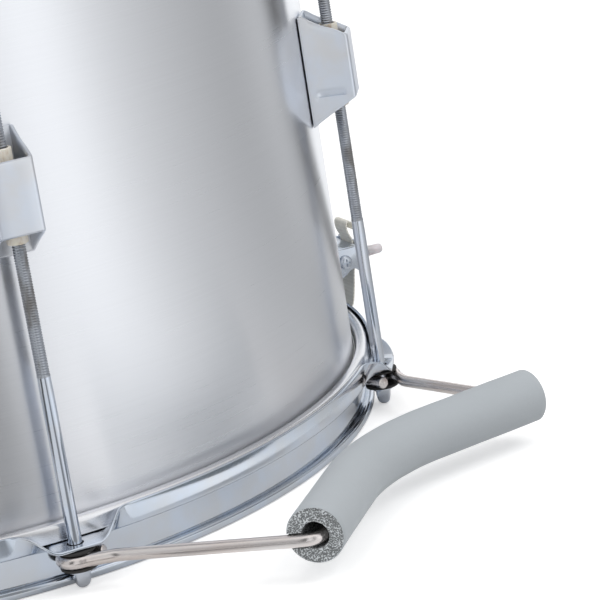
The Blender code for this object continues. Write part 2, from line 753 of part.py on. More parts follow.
def make_butt(finishes):
    """The fixed anchor of the snares: bracket, jaw, clamp plate, screws with soft caps, and the strap."""
    phi = SNARE_PHI

    def put(obj):
        return place(obj, phi, SHELL_RADIUS, LEVEL)

    bm = bmesh.new()
    box(bm, (0.8, 2.8), (-BUTT_CHEEK, BUTT_CHEEK), (8, BUTT_TOP))
    bracket = put(make_object("butt_bracket", bm, finishes["zinc"]))
    cheeks = bmesh.new()
    for side in (-1, 1):
        y = sorted((side * (BUTT_CHEEK - BUTT_SHEET), side * BUTT_CHEEK))
        top = BUTT_TOP - 0.1
        corners = [(0.9, 8.1), (12.6, 9.4), (18.2, 13.4), (21.5, 10.6), (25.0, 10.6), (25.0, top), (0.9, top)]
        loft(cheeks, [[Vector((cx, cy, cz)) for cx, cz in corners] for cy in y])
    boolean(bracket, put(cutter("butt_cheeks", cheeks)), "UNION")
    fixing = bmesh.new()
    for side in (-1, 1):
        pan_screw(fixing, PAIR_SEAT, 4.4, side * BUTT_SCREW_Y, BUTT_SCREW_Z)
    boolean(bracket, put(cutter("butt_fixing", fixing)), "UNION")
    boolean(bracket, put(across("butt_sockets", 2.4, BUTT_JAW_X, BUTT_JAW_Z)), "DIFFERENCE")

    bm = bmesh.new()
    inside = BUTT_CHEEK - BUTT_SHEET - GAP
    box(bm, (8.5, CLAMP_X - 1.0), (-inside, inside), (13.2, 23.6))
    jaw = put(make_object("butt_jaw", bm, finishes["zinc"]))
    pivots = bmesh.new()
    end = BUTT_CHEEK + GAP
    dome = [(end, 2.0), (end, 3.6), (end + 1.4, 3.2), (end + 2.3, 1.8)]
    profile = [(-along, radius) for along, radius in reversed(dome)] + dome
    turned(pivots, profile, 10, (BUTT_JAW_X, 0, BUTT_JAW_Z), "Y")
    boolean(jaw, put(cutter("butt_pivots", pivots)), "UNION")
    boolean(jaw, put(clamp_holes("butt_jaw_holes", 16.0, 26.0, BUTT_CLAMP_Z)), "DIFFERENCE")
    bm = bmesh.new()
    box(bm, (CLAMP_X + 1.0, CLAMP_X + 2.6), (-inside, inside), (12.6, 24.2))
    plate = put(make_object("butt_clamp_plate", bm, finishes["zinc"]))
    boolean(plate, put(clamp_holes("butt_clamp_holes", 24.0, 28.0, BUTT_CLAMP_Z)), "DIFFERENCE")
    for index, side in enumerate((-1, 1), 1):
        screw = bmesh.new()
        seat = CLAMP_X + 3.0
        head = [(seat, 3.4), (seat + 2.1, 3.4), (seat + 2.1, 1.8), (seat + 5.5, 1.8)]
        profile = [(17.0, 1.8), (seat, 1.8)] + head
        turned(screw, profile, 8, (0, side * CLAMP_SCREW_Y, BUTT_CLAMP_Z), "X")
        put(make_object(f"butt_screw_{index}", screw, finishes["zinc"]))
        cap = bmesh.new()
        make_cap(cap, side * CLAMP_SCREW_Y, BUTT_CLAMP_Z)
        put(make_object(f"butt_cap_{index}", cap, finishes["clear_cap"]))
    strap = bmesh.new()
    tail = [(CLAMP_X, 24.8), (21.2, 29.6), (21.1, 33.6), (22.3, 35.0), (24.8, 33.2), (27.4, 28.6)]
    ribbon(strap, strap_line() + tail, STRAP_WIDTH, STRAP_THICK)
    put(make_object("butt_strap", strap, finishes["cream"]))


def clamp_holes(name, x0, x1, z):
    """Cutters for the two screws of a strap clamp."""
    bm = bmesh.new()
    for side in (-1, 1):
        turned(bm, [(x0, CLAMP_HOLE), (x1, CLAMP_HOLE)], 8, (0, side * CLAMP_SCREW_Y, z), "X")
    return cutter(name, bm)


def make_cap(bm, y, z):
    """A soft cap that points outward along X, open behind and closed in front."""
    rings = [(CAP_START, CAP_BORE), (CAP_START, CAP_RADIUS), (CAP_END - 1.2, CAP_RADIUS)]
    rings += [(CAP_END, CAP_RADIUS - 1.2), (CAP_END - 4.6, CAP_BORE)]
    loops = []
    for k in range(10):
        a = 2 * math.pi * k / 10
        loops.append((math.cos(a), math.sin(a)))
    verts = [[bm.verts.new((x, y + c * r, z + s * r)) for c, s in loops] for x, r in rings]
    order = [verts[4], verts[0], verts[1], verts[2], verts[3]]
    for ring_a, ring_b in zip(order, order[1:]):
        for i in range(10):
            j = (i + 1) % 10
            bm.faces.new((ring_a[i], ring_a[j], ring_b[j], ring_b[i]))
    bm.faces.new(order[0])
    bm.faces.new(order[-1])


def make_strainer(finishes):
    """The throw-off: base, carriage, lever, tension knob and strap clamp."""
    phi = SNARE_PHI + 180

    def put(obj):
        return place(obj, phi, SHELL_RADIUS, LEVEL)

    base = bmesh.new()
    box(base, (0.8, 2.8), (-CHEEK_OUT, CHEEK_OUT), (BASE_LOW, BASE_HIGH))
    base_obj = put(make_object("strainer_base", base, finishes["chrome"]))
    for side in (-1, 1):
        cheek = bmesh.new()
        y = sorted((side * CHEEK_IN, side * CHEEK_OUT))
        corners = [(0.9, BASE_LOW + 0.1), (9, BASE_LOW + 0.1), (15, 24), (15, 72), (11, BASE_HIGH - 0.1)]
        corners.append((0.9, BASE_HIGH - 0.1))
        loft(cheek, [[Vector((cx, cy, cz)) for cx, cz in corners] for cy in y])
        boolean(base_obj, put(cutter(f"strainer_cheek_{side + 1}", cheek)), "UNION")
    boolean(base_obj, put(across("strainer_base_bore", PIVOT_RADIUS + GAP, PIVOT_X, PIVOT_Z)), "DIFFERENCE")
    fixing = bmesh.new()
    for z in STRAINER_SCREWS:
        pan_screw(fixing, SCREW_SEAT, 3.0, 0, z)
    boolean(base_obj, put(cutter("strainer_fixing", fixing)), "UNION")

    pin = bmesh.new()
    end = CHEEK_OUT + GAP
    profile = [(end + 1.2, 3.2), (end, 3.2), (end, PIVOT_RADIUS)]
    profile += [(-along, radius) for along, radius in reversed(profile)]
    turned(pin, profile, 10, (PIVOT_X, 0, PIVOT_Z), "Y")
    put(make_object("lever_pin", pin, finishes["chrome"]))
    make_lever(phi, put, finishes)
    make_carriage(phi, put, finishes)
    make_strap_clamp(phi, put, finishes)


def across(name, radius, x, z):
    """A cutter along Y, right through the strainer."""
    bm = bmesh.new()
    turned(bm, [(-20, radius), (20, radius)], 10, (x, 0, z), "Y")
    return cutter(name, bm)


def slab(bm, outline, half):
    """A plate with that outline, (x, z), as wide as twice half along Y."""
    loft(bm, [[Vector((x, y, z)) for x, z in outline] for y in (-half, half)])


def make_lever(phi, put, finishes):
    """The lever, with a crank pin on each side of its hub, and the soft tip on its end."""
    bm = bmesh.new()
    outline = [(5.4, 62.5), (10.0, 60.6), (14.6, 62.5), (16.0, 68.0), (16.4, 84.0), (21.5, 103.0)]
    outline += [(18.3, 104.2), (12.6, 84.6), (6.2, 71.0)]
    slab(bm, outline, HUB_HALF)
    lever = hang(make_object("strainer_lever", bm, finishes["chrome"]), phi, PIVOT_X, PIVOT_Z)
    waist = bmesh.new()
    for side in (-1, 1):
        box(waist, (0, 30), sorted((side * 8.0, side * 20.0)), (74, 110))
    boolean(lever, put(cutter("lever_waist", waist)), "DIFFERENCE")
    cranks = bmesh.new()
    ends = (-CARRIAGE_HALF, CARRIAGE_HALF)
    turned(cranks, [(y, CRANK_PIN) for y in ends], 8, (PIVOT_X + CRANK, 0, PIVOT_Z + CRANK), "Y")
    boolean(lever, put(cutter("lever_cranks", cranks)), "UNION")
    boolean(lever, put(across("lever_bore", PIVOT_RADIUS + GAP, PIVOT_X, PIVOT_Z)), "DIFFERENCE")

    grip = bmesh.new()
    slab(grip, [(21.0, 99.5), (22.8, 106.3), (17.2, 108.0), (15.2, 100.9)], 9.4)
    tip = hang(make_object("lever_tip", grip, finishes["rubber"]), phi, PIVOT_X, PIVOT_Z)
    pocket = bmesh.new()
    slab(pocket, [(21.1, 95.0), (22.1, 103.9), (17.5, 105.2), (14.6, 95.0)], 8.3)
    boolean(tip, put(cutter("tip_pocket", pocket)), "DIFFERENCE")


def make_carriage(phi, put, finishes):
    """The slide that the lever's crank pins move: a back plate, a shelf for the knob and two slotted arms."""
    bm = bmesh.new()
    box(bm, (3.3, 6.3), (-13.5, 13.5), (CARRIAGE_LOW, CARRIAGE_HIGH))
    carriage = hang(make_object("strainer_carriage", bm, finishes["zinc"]), phi, KNOB_X, 0)
    shelf = bmesh.new()
    box(shelf, (3.4, 18.0), (-CARRIAGE_HALF, CARRIAGE_HALF), (CARRIAGE_LOW + 0.1, CARRIAGE_LOW + 2.6))
    boolean(carriage, put(cutter("carriage_shelf", shelf)), "UNION")
    for side in (-1, 1):
        arm = bmesh.new()
        box(arm, (12.7, 17.9), sorted((side * ARM_IN, side * CARRIAGE_HALF)), (CARRIAGE_LOW + 1, ARM_TOP))
        boolean(carriage, put(cutter(f"carriage_arm_{side + 1}", arm)), "UNION")
    cuts = bmesh.new()
    turned(cuts, [(CARRIAGE_LOW - 2, 2.4), (CARRIAGE_LOW + 6, 2.4)], 10, (KNOB_X, 0, 0))
    slot = CRANK_PIN + 0.45
    middle = PIVOT_Z + CRANK
    box(cuts, (10.0, 16.1), (-20, 20), (middle - slot, middle + slot))
    boolean(carriage, put(cutter("carriage_cuts", cuts)), "DIFFERENCE")


def make_strap_clamp(phi, put, finishes):
    """The knob whose screw sets the snares' tension, and the block, plate and screws that grip the strap."""
    knob = bmesh.new()
    top = CARRIAGE_LOW - GAP
    profile = [(top - 9.0, 5.4), (top - 8.2, 6.2), (top - 0.8, 6.2), (top, 5.4), (top, 2.0), (41.0, 2.0)]
    turned(knob, profile, 12, (KNOB_X, 0, 0))
    hang(make_object("tension_knob", knob, finishes["chrome"]), phi, KNOB_X, 0)

    bm = bmesh.new()
    box(bm, (6.7, CLAMP_X - 1.0), (-BLOCK_HALF, BLOCK_HALF), (BLOCK_LOW, BLOCK_HIGH))
    block = hang(make_object("strap_clamp_block", bm, finishes["zinc"]), phi, KNOB_X, 0)
    middle = (BLOCK_LOW + BLOCK_HIGH) / 2
    bores = bmesh.new()
    turned(bores, [(BLOCK_LOW - 3, 2.4), (BLOCK_HIGH - 2, 2.4)], 10, (KNOB_X, 0, 0))
    boolean(block, put(cutter("block_screw_bore", bores)), "DIFFERENCE")
    boolean(block, put(clamp_holes("block_clamp_holes", 17.0, 26.0, middle)), "DIFFERENCE")
    bm = bmesh.new()
    box(bm, (CLAMP_X + 1.0, CLAMP_X + 2.6), (-BLOCK_HALF, BLOCK_HALF), (BLOCK_LOW + 0.4, BLOCK_HIGH - 0.4))
    plate = hang(make_object("strap_clamp_plate", bm, finishes["zinc"]), phi, KNOB_X, 0)
    boolean(plate, put(clamp_holes("plate_holes", 24.0, 28.0, middle)), "DIFFERENCE")
    for index, side in enumerate((-1, 1), 1):
        screw = bmesh.new()
        pan_screw(screw, CLAMP_X + 3.0, 18.0, side * CLAMP_SCREW_Y, middle)
        hang(make_object(f"strap_clamp_screw_{index}", screw, finishes["zinc"]), phi, KNOB_X, 0)
    strap = bmesh.new()
    ribbon(strap, strap_line() + [(CLAMP_X, 47.5), (23.4, 51.0), (22.6, 54.0)], STRAP_WIDTH, STRAP_THICK)
    put(make_object("strainer_strap", strap, finishes["cream"]))


# Sling ring


def make_sling(finishes):
    """The ring that the sling hooks into, hanging in a bracket under the upper hoop."""
    phi = SLING_PHI
    bm = bmesh.new()
    box(bm, (0.8, 2.6), (-18, 18), (SLING_Z - 12, SLING_Z + 12))
    bracket = place(make_object("sling_bracket", bm, finishes["chrome"]), phi, SHELL_RADIUS)
    ears = bmesh.new()
    for side in (-1, 1):
        box(ears, (2.2, 9.6), sorted((side * 14.2, side * 17.0)), (RING_PIVOT - 3.6, RING_PIVOT + 3.6))
    boolean(bracket, place(cutter("sling_ears", ears), phi, SHELL_RADIUS), "UNION")
    holes = bmesh.new()
    turned(holes, [(-20, RING_WIRE + 0.35), (20, RING_WIRE + 0.35)], 10, (RING_X, 0, RING_PIVOT), "Y")
    boolean(bracket, place(cutter("sling_holes", holes), phi, SHELL_RADIUS), "DIFFERENCE")
    screws = bmesh.new()
    for side in (-1, 1):
        pan_screw(screws, PAIR_SEAT, 3.6, side * SLING_SCREW_Y, SLING_Z + SLING_SCREW_RISE)
    boolean(bracket, place(cutter("sling_fixing", screws), phi, SHELL_RADIUS), "UNION")

    wide = RING_HALF_WIDTH
    deep = RING_DEPTH
    turns = [(RING_PIN_END, 0), (wide, 0), (wide, -deep), (-wide, -deep), (-wide, 0), (-RING_PIN_END, 0)]
    corners = [Vector((0, y, z)) for y, z in turns]
    path = [corners[0]]
    for before, corner, after, radius in zip(corners, corners[1:], corners[2:], (3.0, 9.0, 9.0, 3.0)):
        path += arc_corner(before, corner, after, radius, 3)
    path.append(corners[-1])
    ring = bmesh.new()
    loft(ring, tube_loops(path, RING_WIRE, 8, Vector((1, 0, 0))))
    ring_obj = make_object("sling_ring", ring, finishes["chrome"])
    return place(ring_obj, phi, SHELL_RADIUS + RING_X, RING_PIVOT)


def main():
    clear_scene()
    finishes = make_finishes()
    make_shell(finishes)
    make_vent(finishes)
    make_film("batter_head", 1, finishes)
    make_film("snare_head", -1, finishes)
    make_flesh_hoop("batter_flesh_hoop", 1, finishes)
    make_flesh_hoop("snare_flesh_hoop", -1, finishes)
    make_hoop("upper_hoop", 1, finishes)
    make_hoop("lower_hoop", -1, finishes)
    for index, phi in enumerate(rod_angles(), 1):
        rests = abs(phi) < 45
        make_lug(index, phi, finishes)
        make_nut(index, phi, finishes)
        make_rod(f"upper_rod_{index}", phi, 1, False, finishes)
        make_rod(f"lower_rod_{index}", phi, -1, rests, finishes)
        if rests:
            make_rubber_washer(f"rubber_washer_{index}_upper", phi, SHOULDER + GAP, finishes)
            make_rubber_washer(f"rubber_washer_{index}_lower", phi, KNEE_EYE_H + KNEE_WIRE + GAP, finishes)
    make_knee_rest(finishes)
    make_snares(finishes)
    make_butt(finishes)
    make_strainer(finishes)
    make_sling(finishes)


main()
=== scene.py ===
"""Looks of a marching drum: aluminium shell, folded lugs, steel hoops, a snare throw-off and a knee rest.

Sizes are in millimetres and become metres when a piece is made. The origin is the centre of the batter
head's playing face, +Z is up, and the knee rest is at the front, towards -Y. Angles count from the front
towards +X. Heights that both ends share are distances from the middle of the shell.
"""

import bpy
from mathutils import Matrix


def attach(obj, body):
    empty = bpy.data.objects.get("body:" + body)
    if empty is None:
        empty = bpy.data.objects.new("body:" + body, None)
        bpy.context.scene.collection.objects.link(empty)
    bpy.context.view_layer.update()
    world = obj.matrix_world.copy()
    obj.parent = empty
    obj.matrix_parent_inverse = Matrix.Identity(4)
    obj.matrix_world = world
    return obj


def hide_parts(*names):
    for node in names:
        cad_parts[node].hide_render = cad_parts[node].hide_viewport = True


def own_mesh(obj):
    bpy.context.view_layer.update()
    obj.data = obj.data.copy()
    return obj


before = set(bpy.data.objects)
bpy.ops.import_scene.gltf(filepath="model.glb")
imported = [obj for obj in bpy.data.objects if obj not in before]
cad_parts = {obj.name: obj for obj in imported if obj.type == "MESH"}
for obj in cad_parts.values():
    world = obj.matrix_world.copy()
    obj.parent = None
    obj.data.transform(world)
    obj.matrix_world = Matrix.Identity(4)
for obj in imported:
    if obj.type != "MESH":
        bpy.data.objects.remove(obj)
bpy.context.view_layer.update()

import logging
import math
from dataclasses import dataclass, field
from enum import Enum
from typing import Callable, Iterable, Optional, Sequence, Union

import bmesh
import bpy
from mathutils import Matrix, Vector, noise

Point = tuple[float, float]
Corner = tuple[float, float, float]
Colour = tuple[float, float, float]
Section = Union[Sequence[Point], Callable[[float], Sequence[Point]]]

LOG = logging.getLogger("drum")
MM = 0.001
UP = Vector((0, 0, 1))


class End(Enum):
    """The two ends of the drum, each with the sign of its heights."""

    BATTER = 1
    SNARE = -1


class Body(Enum):
    """The moving bodies that pieces ride on, apart from the tension rods' own."""

    DRUM = "drum"
    UPPER_HOOP = "upper_hoop"
    LOWER_HOOP = "lower_hoop"
    LEVER = "lever"
    CARRIAGE = "carriage"
    KNOB = "knob"
    STRAP_CLAMP = "strap_clamp"
    SLING_RING = "sling_ring"


@dataclass(frozen=True)
class Gauge:
    """The sizes that several sub-assemblies share."""

    shell_radius: float = 203.2
    shell_half: float = 152.4
    shell_sheet: float = 1.2
    head_face: float = 153.15
    flesh_top: float = 132.2
    rod_circle: float = 215.2
    shoulder: float = 141.5
    rim_face: float = 158.6
    clearance: float = 0.3
    snare_phi: float = 60.0
    strap_width: float = 13.4
    strap_thick: float = 1.0
    clamp_x: float = 23.4
    clamp_screw_y: float = 9.2
    rods: tuple[float, ...] = (-30.0, 30.0, 90.0, 150.0, 210.0, 270.0)


GAUGE = Gauge()


def radial(phi: float) -> Vector:
    """Unit vector from the axis outward at that angle."""
    turn = math.radians(phi)
    return Vector((math.sin(turn), -math.cos(turn), 0))


def seat(phi: float = 90.0, radius: float = 0.0, height: float = 0.0) -> Matrix:
    """Where a piece goes: its +X points outward at that angle.

    Args:
        phi: angle from the front, in degrees.
        radius: how far out the piece's origin is.
        height: the origin's height above the middle of the shell.

    Returns:
        The placement, in millimetres.
    """
    spot = radial(phi) * radius + UP * (height - GAUGE.head_face)
    return Matrix.Translation(spot) @ Matrix.Rotation(math.radians(phi - 90), 4, "Z")


def smoothstep(share: float) -> float:
    """Eases a share from 0 to 1, and holds it there beyond."""
    share = min(max(share, 0.0), 1.0)
    return share * share * (3 - 2 * share)


def rounded(corners: Iterable[Corner], steps: int = 4, closed: bool = True) -> list[Point]:
    """Rounds the corners of an outline.

    Args:
        corners: (x, y, reach) each. The round starts that far from the corner, and 0 leaves it sharp.
        steps: how many edges a round has.
        closed: whether the outline returns to its first corner.

    Returns:
        The outline's points.
    """
    listed = list(corners)
    points: list[Point] = []
    for i, (x, y, reach) in enumerate(listed):
        end = not closed and i in (0, len(listed) - 1)
        if reach <= 0 or end:
            points.append((x, y))
            continue
        here = Vector((x, y))
        back = Vector(listed[i - 1][:2]) - here
        ahead = Vector(listed[(i + 1) % len(listed)][:2]) - here
        back = back.normalized() * min(reach, back.length * 0.48)
        ahead = ahead.normalized() * min(reach, ahead.length * 0.48)
        for k in range(steps + 1):
            s = k / steps
            points.append(tuple(here + back * (1 - s) ** 2 + ahead * s**2))
    return points


def arc_corner(before: Vector, corner: Vector, after: Vector, radius: float, steps: int) -> list[Vector]:
    """Points of an arc that rounds one corner of a path.

    Args:
        before: the point before the corner.
        corner: the corner.
        after: the point after it.
        radius: the arc's radius.
        steps: how many edges the arc has.

    Returns:
        The arc's points, in order.
    """
    back = (before - corner).normalized()
    ahead = (after - corner).normalized()
    opening = back.angle(ahead)
    reach = radius / math.tan(opening / 2)
    centre = corner + (back + ahead).normalized() * radius / math.sin(opening / 2)
    start = corner + back * reach - centre
    end = corner + ahead * reach - centre
    sweep = start.angle(end)
    points = []
    for i in range(steps + 1):
        s = i / steps
        mix = start * math.sin((1 - s) * sweep) + end * math.sin(s * sweep)
        points.append(centre + mix / math.sin(sweep))
    return points


def spaced(path: Sequence[Vector], longest: float) -> list[Vector]:
    """Adds points so that no stretch of the path is longer than that."""
    points = [path[0]]
    for before, after in zip(path, path[1:]):
        count = max(1, math.ceil((after - before).length / longest))
        points += [before.lerp(after, k / count) for k in range(1, count + 1)]
    return points


def eased(path: Sequence[Vector], rounds: int) -> list[Vector]:
    """Moves each inner point of an evenly spaced path towards its neighbours, which rounds its bends."""
    points = [point.copy() for point in path]
    for _ in range(rounds):
        before = [point.copy() for point in points]
        for i in range(1, len(points) - 1):
            points[i] = before[i] * 0.5 + (before[i - 1] + before[i + 1]) * 0.25
    return points


def even_angles(steps: int) -> list[float]:
    """Equal steps round the axis, in degrees."""
    return [360 / steps * i for i in range(steps)]


class Draft:
    """A piece on the drawing board, in millimetres."""

    def __init__(self) -> None:
        """Starts with nothing drawn."""
        self.mesh = bmesh.new()
        self.run = self.mesh.verts.layers.float_vector.new("run")

    def loop(self, points: Iterable[Vector]) -> list[bmesh.types.BMVert]:
        """Draws the points of one loop."""
        return [self.mesh.verts.new(point) for point in points]

    def skin(
        self,
        loops: Sequence[Sequence[Vector]],
        closed: bool = False,
        around: bool = True,
        caps: bool = True,
        slots: Optional[Sequence[int]] = None,
    ) -> "Draft":
        """Joins equal loops of points with quads.

        Args:
            loops: the loops, in order.
            closed: whether the last loop joins the first.
            around: whether each loop returns to its first point.
            caps: whether the first and last loop are filled.
            slots: the material slot of each strip, in order.

        Returns:
            This draft.
        """
        rings = [self.loop(points) for points in loops]
        count = len(rings[0])
        pairs = list(zip(rings, rings[1:]))
        if closed:
            pairs.append((rings[-1], rings[0]))
        for strip, (ring_a, ring_b) in enumerate(pairs):
            for i in range(count if around else count - 1):
                j = (i + 1) % count
                face = self.mesh.faces.new((ring_a[i], ring_a[j], ring_b[j], ring_b[i]))
                face.material_index = slots[strip] if slots else 0
        if caps and not closed:
            self.mesh.faces.new(rings[0])
            self.mesh.faces.new(rings[-1])
        return self

    def revolve(self, section: Section, angles: Sequence[float]) -> "Draft":
        """Turns a closed section of (radius, height) round the drum's axis. It may change with the angle."""
        loops = []
        for phi in angles:
            points = section(phi) if callable(section) else section
            loops.append([radial(phi) * r + UP * z for r, z in points])
        return self.skin(loops, closed=True)

    def turn(
        self,
        profile: Sequence[Point],
        sides: int,
        centre: Sequence[float] = (0, 0, 0),
        axis: str = "Z",
        lobes: int = 0,
        lobe_depth: float = 0.0,
    ) -> "Draft":
        """Draws a solid turned round an axis.

        Args:
            profile: (distance along the axis, radius) points.
            sides: how many sides it has.
            centre: a point of the axis.
            axis: the axis' letter.
            lobes: how many ridges run along it, for a knurl.
            lobe_depth: how deep the grooves between them are.

        Returns:
            This draft.
        """
        turns = {"Z": "XYZ", "X": "YZX", "Y": "ZXY"}[axis]
        u, v, w = (Vector([float(letter == name) for letter in "XYZ"]) for name in turns)
        widest = max(radius for _, radius in profile)
        loops = []
        for along, radius in profile:
            loop = []
            for i in range(sides):
                angle = 2 * math.pi * i / sides
                cut = lobe_depth * (0.5 - 0.5 * math.cos(lobes * angle)) if radius > 0.9 * widest else 0
                out = u * math.cos(angle) + v * math.sin(angle)
                loop.append(Vector(centre) + w * along + out * (radius - cut))
            loops.append(loop)
        return self.skin(loops)

    def tube(self, path: Sequence[Vector], radius: float, sides: int, chamfer: float = 0.0) -> "Draft":
        """Draws a round wire along a path, its frame carried along without twist.

        Args:
            path: the centre line.
            radius: the wire's radius.
            sides: how many sides it has.
            chamfer: how much its cut ends are eased.

        Returns:
            This draft.
        """
        return self.skin(tube_loops(path, radius, sides, chamfer))

    def box(self, x: Point, y: Point, z: Point) -> "Draft":
        """Draws a box between the two ends of each range."""
        corners = ((x[0], y[0]), (x[1], y[0]), (x[1], y[1]), (x[0], y[1]))
        return self.skin([[Vector((*corner, height)) for corner in corners] for height in z])

    def plate(self, outline: Sequence[Point], y: Point) -> "Draft":
        """Draws a plate with that (x, z) outline, between two values of y."""
        return self.skin([[Vector((px, py, pz)) for px, pz in outline] for py in y])

    def panel(self, outline: Sequence[Point], x: Point) -> "Draft":
        """Draws a plate with that (y, z) outline, between two values of x."""
        return self.skin([[Vector((px, py, pz)) for py, pz in outline] for px in x])

    def bevel(self, width: float, steps: int = 2, angle: float = 40.0) -> "Draft":
        """Rounds every edge that is sharper than that angle, in degrees."""
        bmesh.ops.recalc_face_normals(self.mesh, faces=self.mesh.faces)
        sharp = math.radians(angle)
        edges = [e for e in self.mesh.edges if e.is_manifold and e.calc_face_angle(0) > sharp]
        bmesh.ops.bevel(
            self.mesh, geom=edges, offset=width, segments=steps, profile=0.5, affect="EDGES", clamp_overlap=True
        )
        return self

    def add(self, other: "Draft", slot: int = 0) -> "Draft":
        """Moves another draft's faces into this one, in that material slot."""
        mesh = bpy.data.meshes.new("part")
        for face in other.mesh.faces:
            face.material_index = max(face.material_index, slot)
        other.mesh.to_mesh(mesh)
        self.mesh.from_mesh(mesh)
        bpy.data.meshes.remove(mesh)
        return self

    def stand(self) -> bpy.types.Object:
        """Makes a short-lived object of what is drawn."""
        bmesh.ops.recalc_face_normals(self.mesh, faces=self.mesh.faces)
        mesh = bpy.data.meshes.new("part")
        self.mesh.to_mesh(mesh)
        made = bpy.data.objects.new("part", mesh)
        bpy.context.scene.collection.objects.link(made)
        return made

    def cut(self, tool: "Draft") -> "Draft":
        """Takes another draft's volume out of this one."""
        body, blade = self.stand(), tool.stand()
        modifier = body.modifiers.new("cut", "BOOLEAN")
        modifier.operation = "DIFFERENCE"
        modifier.solver = "EXACT"
        modifier.object = blade
        graph = bpy.context.evaluated_depsgraph_get()
        result = bpy.data.meshes.new_from_object(body.evaluated_get(graph))
        self.mesh = bmesh.new()
        self.mesh.from_mesh(result)
        self.run = self.mesh.verts.layers.float_vector.get("run")
        for obj in (body, blade):
            mesh = obj.data
            bpy.data.objects.remove(obj)
            bpy.data.meshes.remove(mesh)
        bpy.data.meshes.remove(result)
        return self

    def make(
        self,
        name: str,
        place: Matrix,
        finishes: Sequence["Finish"],
        body: Union[Body, str],
        slot: str,
        replaces: Sequence[str],
        crease: float = 32.0,
    ) -> bpy.types.Object:
        """slot: the slot that its finish belongs to; not used.
            replaces: the plain solids that it stands for.
            crease: edges sharper than this, in degrees, stay sharp.

        Returns:
            The piece.
        """
        bmesh.ops.recalc_face_normals(self.mesh, faces=self.mesh.faces)
        mesh = bpy.data.meshes.new(name)
        self.mesh.to_mesh(mesh)
        self.mesh.free()
        mesh.transform(Matrix.Diagonal((MM, MM, MM, 1)) @ place)
        mesh.shade_smooth()
        mesh.set_sharp_from_angle(angle=math.radians(crease))
        for finish in finishes:
            mesh.materials.append(finish.material())
        piece = bpy.data.objects.new(name, mesh)
        bpy.context.scene.collection.objects.link(piece)
        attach(piece, body.value if isinstance(body, Body) else body)
        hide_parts(*replaces)
        LOG.info("%s: %d points", name, len(mesh.vertices))
        return piece


def tube_loops(path: Sequence[Vector], radius: float, sides: int, chamfer: float = 0.0) -> list[list[Vector]]:
    """Rings of points round a path.

    Args:
        path: the centre line.
        radius: the tube's radius.
        sides: how many sides it has.
        chamfer: how much its cut ends are eased.

    Returns:
        The rings, in order.
    """
    ways = [path[min(i + 1, len(path) - 1)] - path[max(i - 1, 0)] for i in range(len(path))]
    side = ways[0].orthogonal().normalized()
    rings = []
    for point, way in zip(path, ways):
        ahead = way.normalized()
        side = (side - ahead * side.dot(ahead)).normalized()
        lift = ahead.cross(side)
        rings.append((point, ahead, side, lift, radius))
    if chamfer > 0:
        first, last = rings[0], rings[-1]
        rings[0] = (first[0] + first[1] * chamfer, *first[1:])
        rings[-1] = (last[0] - last[1] * chamfer, *last[1:])
        rings.insert(0, (*first[:4], radius - chamfer))
        rings.append((*last[:4], radius - chamfer))
    loops = []
    for point, _, side, lift, reach in rings:
        turns = [2 * math.pi * k / sides for k in range(sides)]
        loops.append([point + (side * math.cos(a) + lift * math.sin(a)) * reach for a in turns])
    return loops


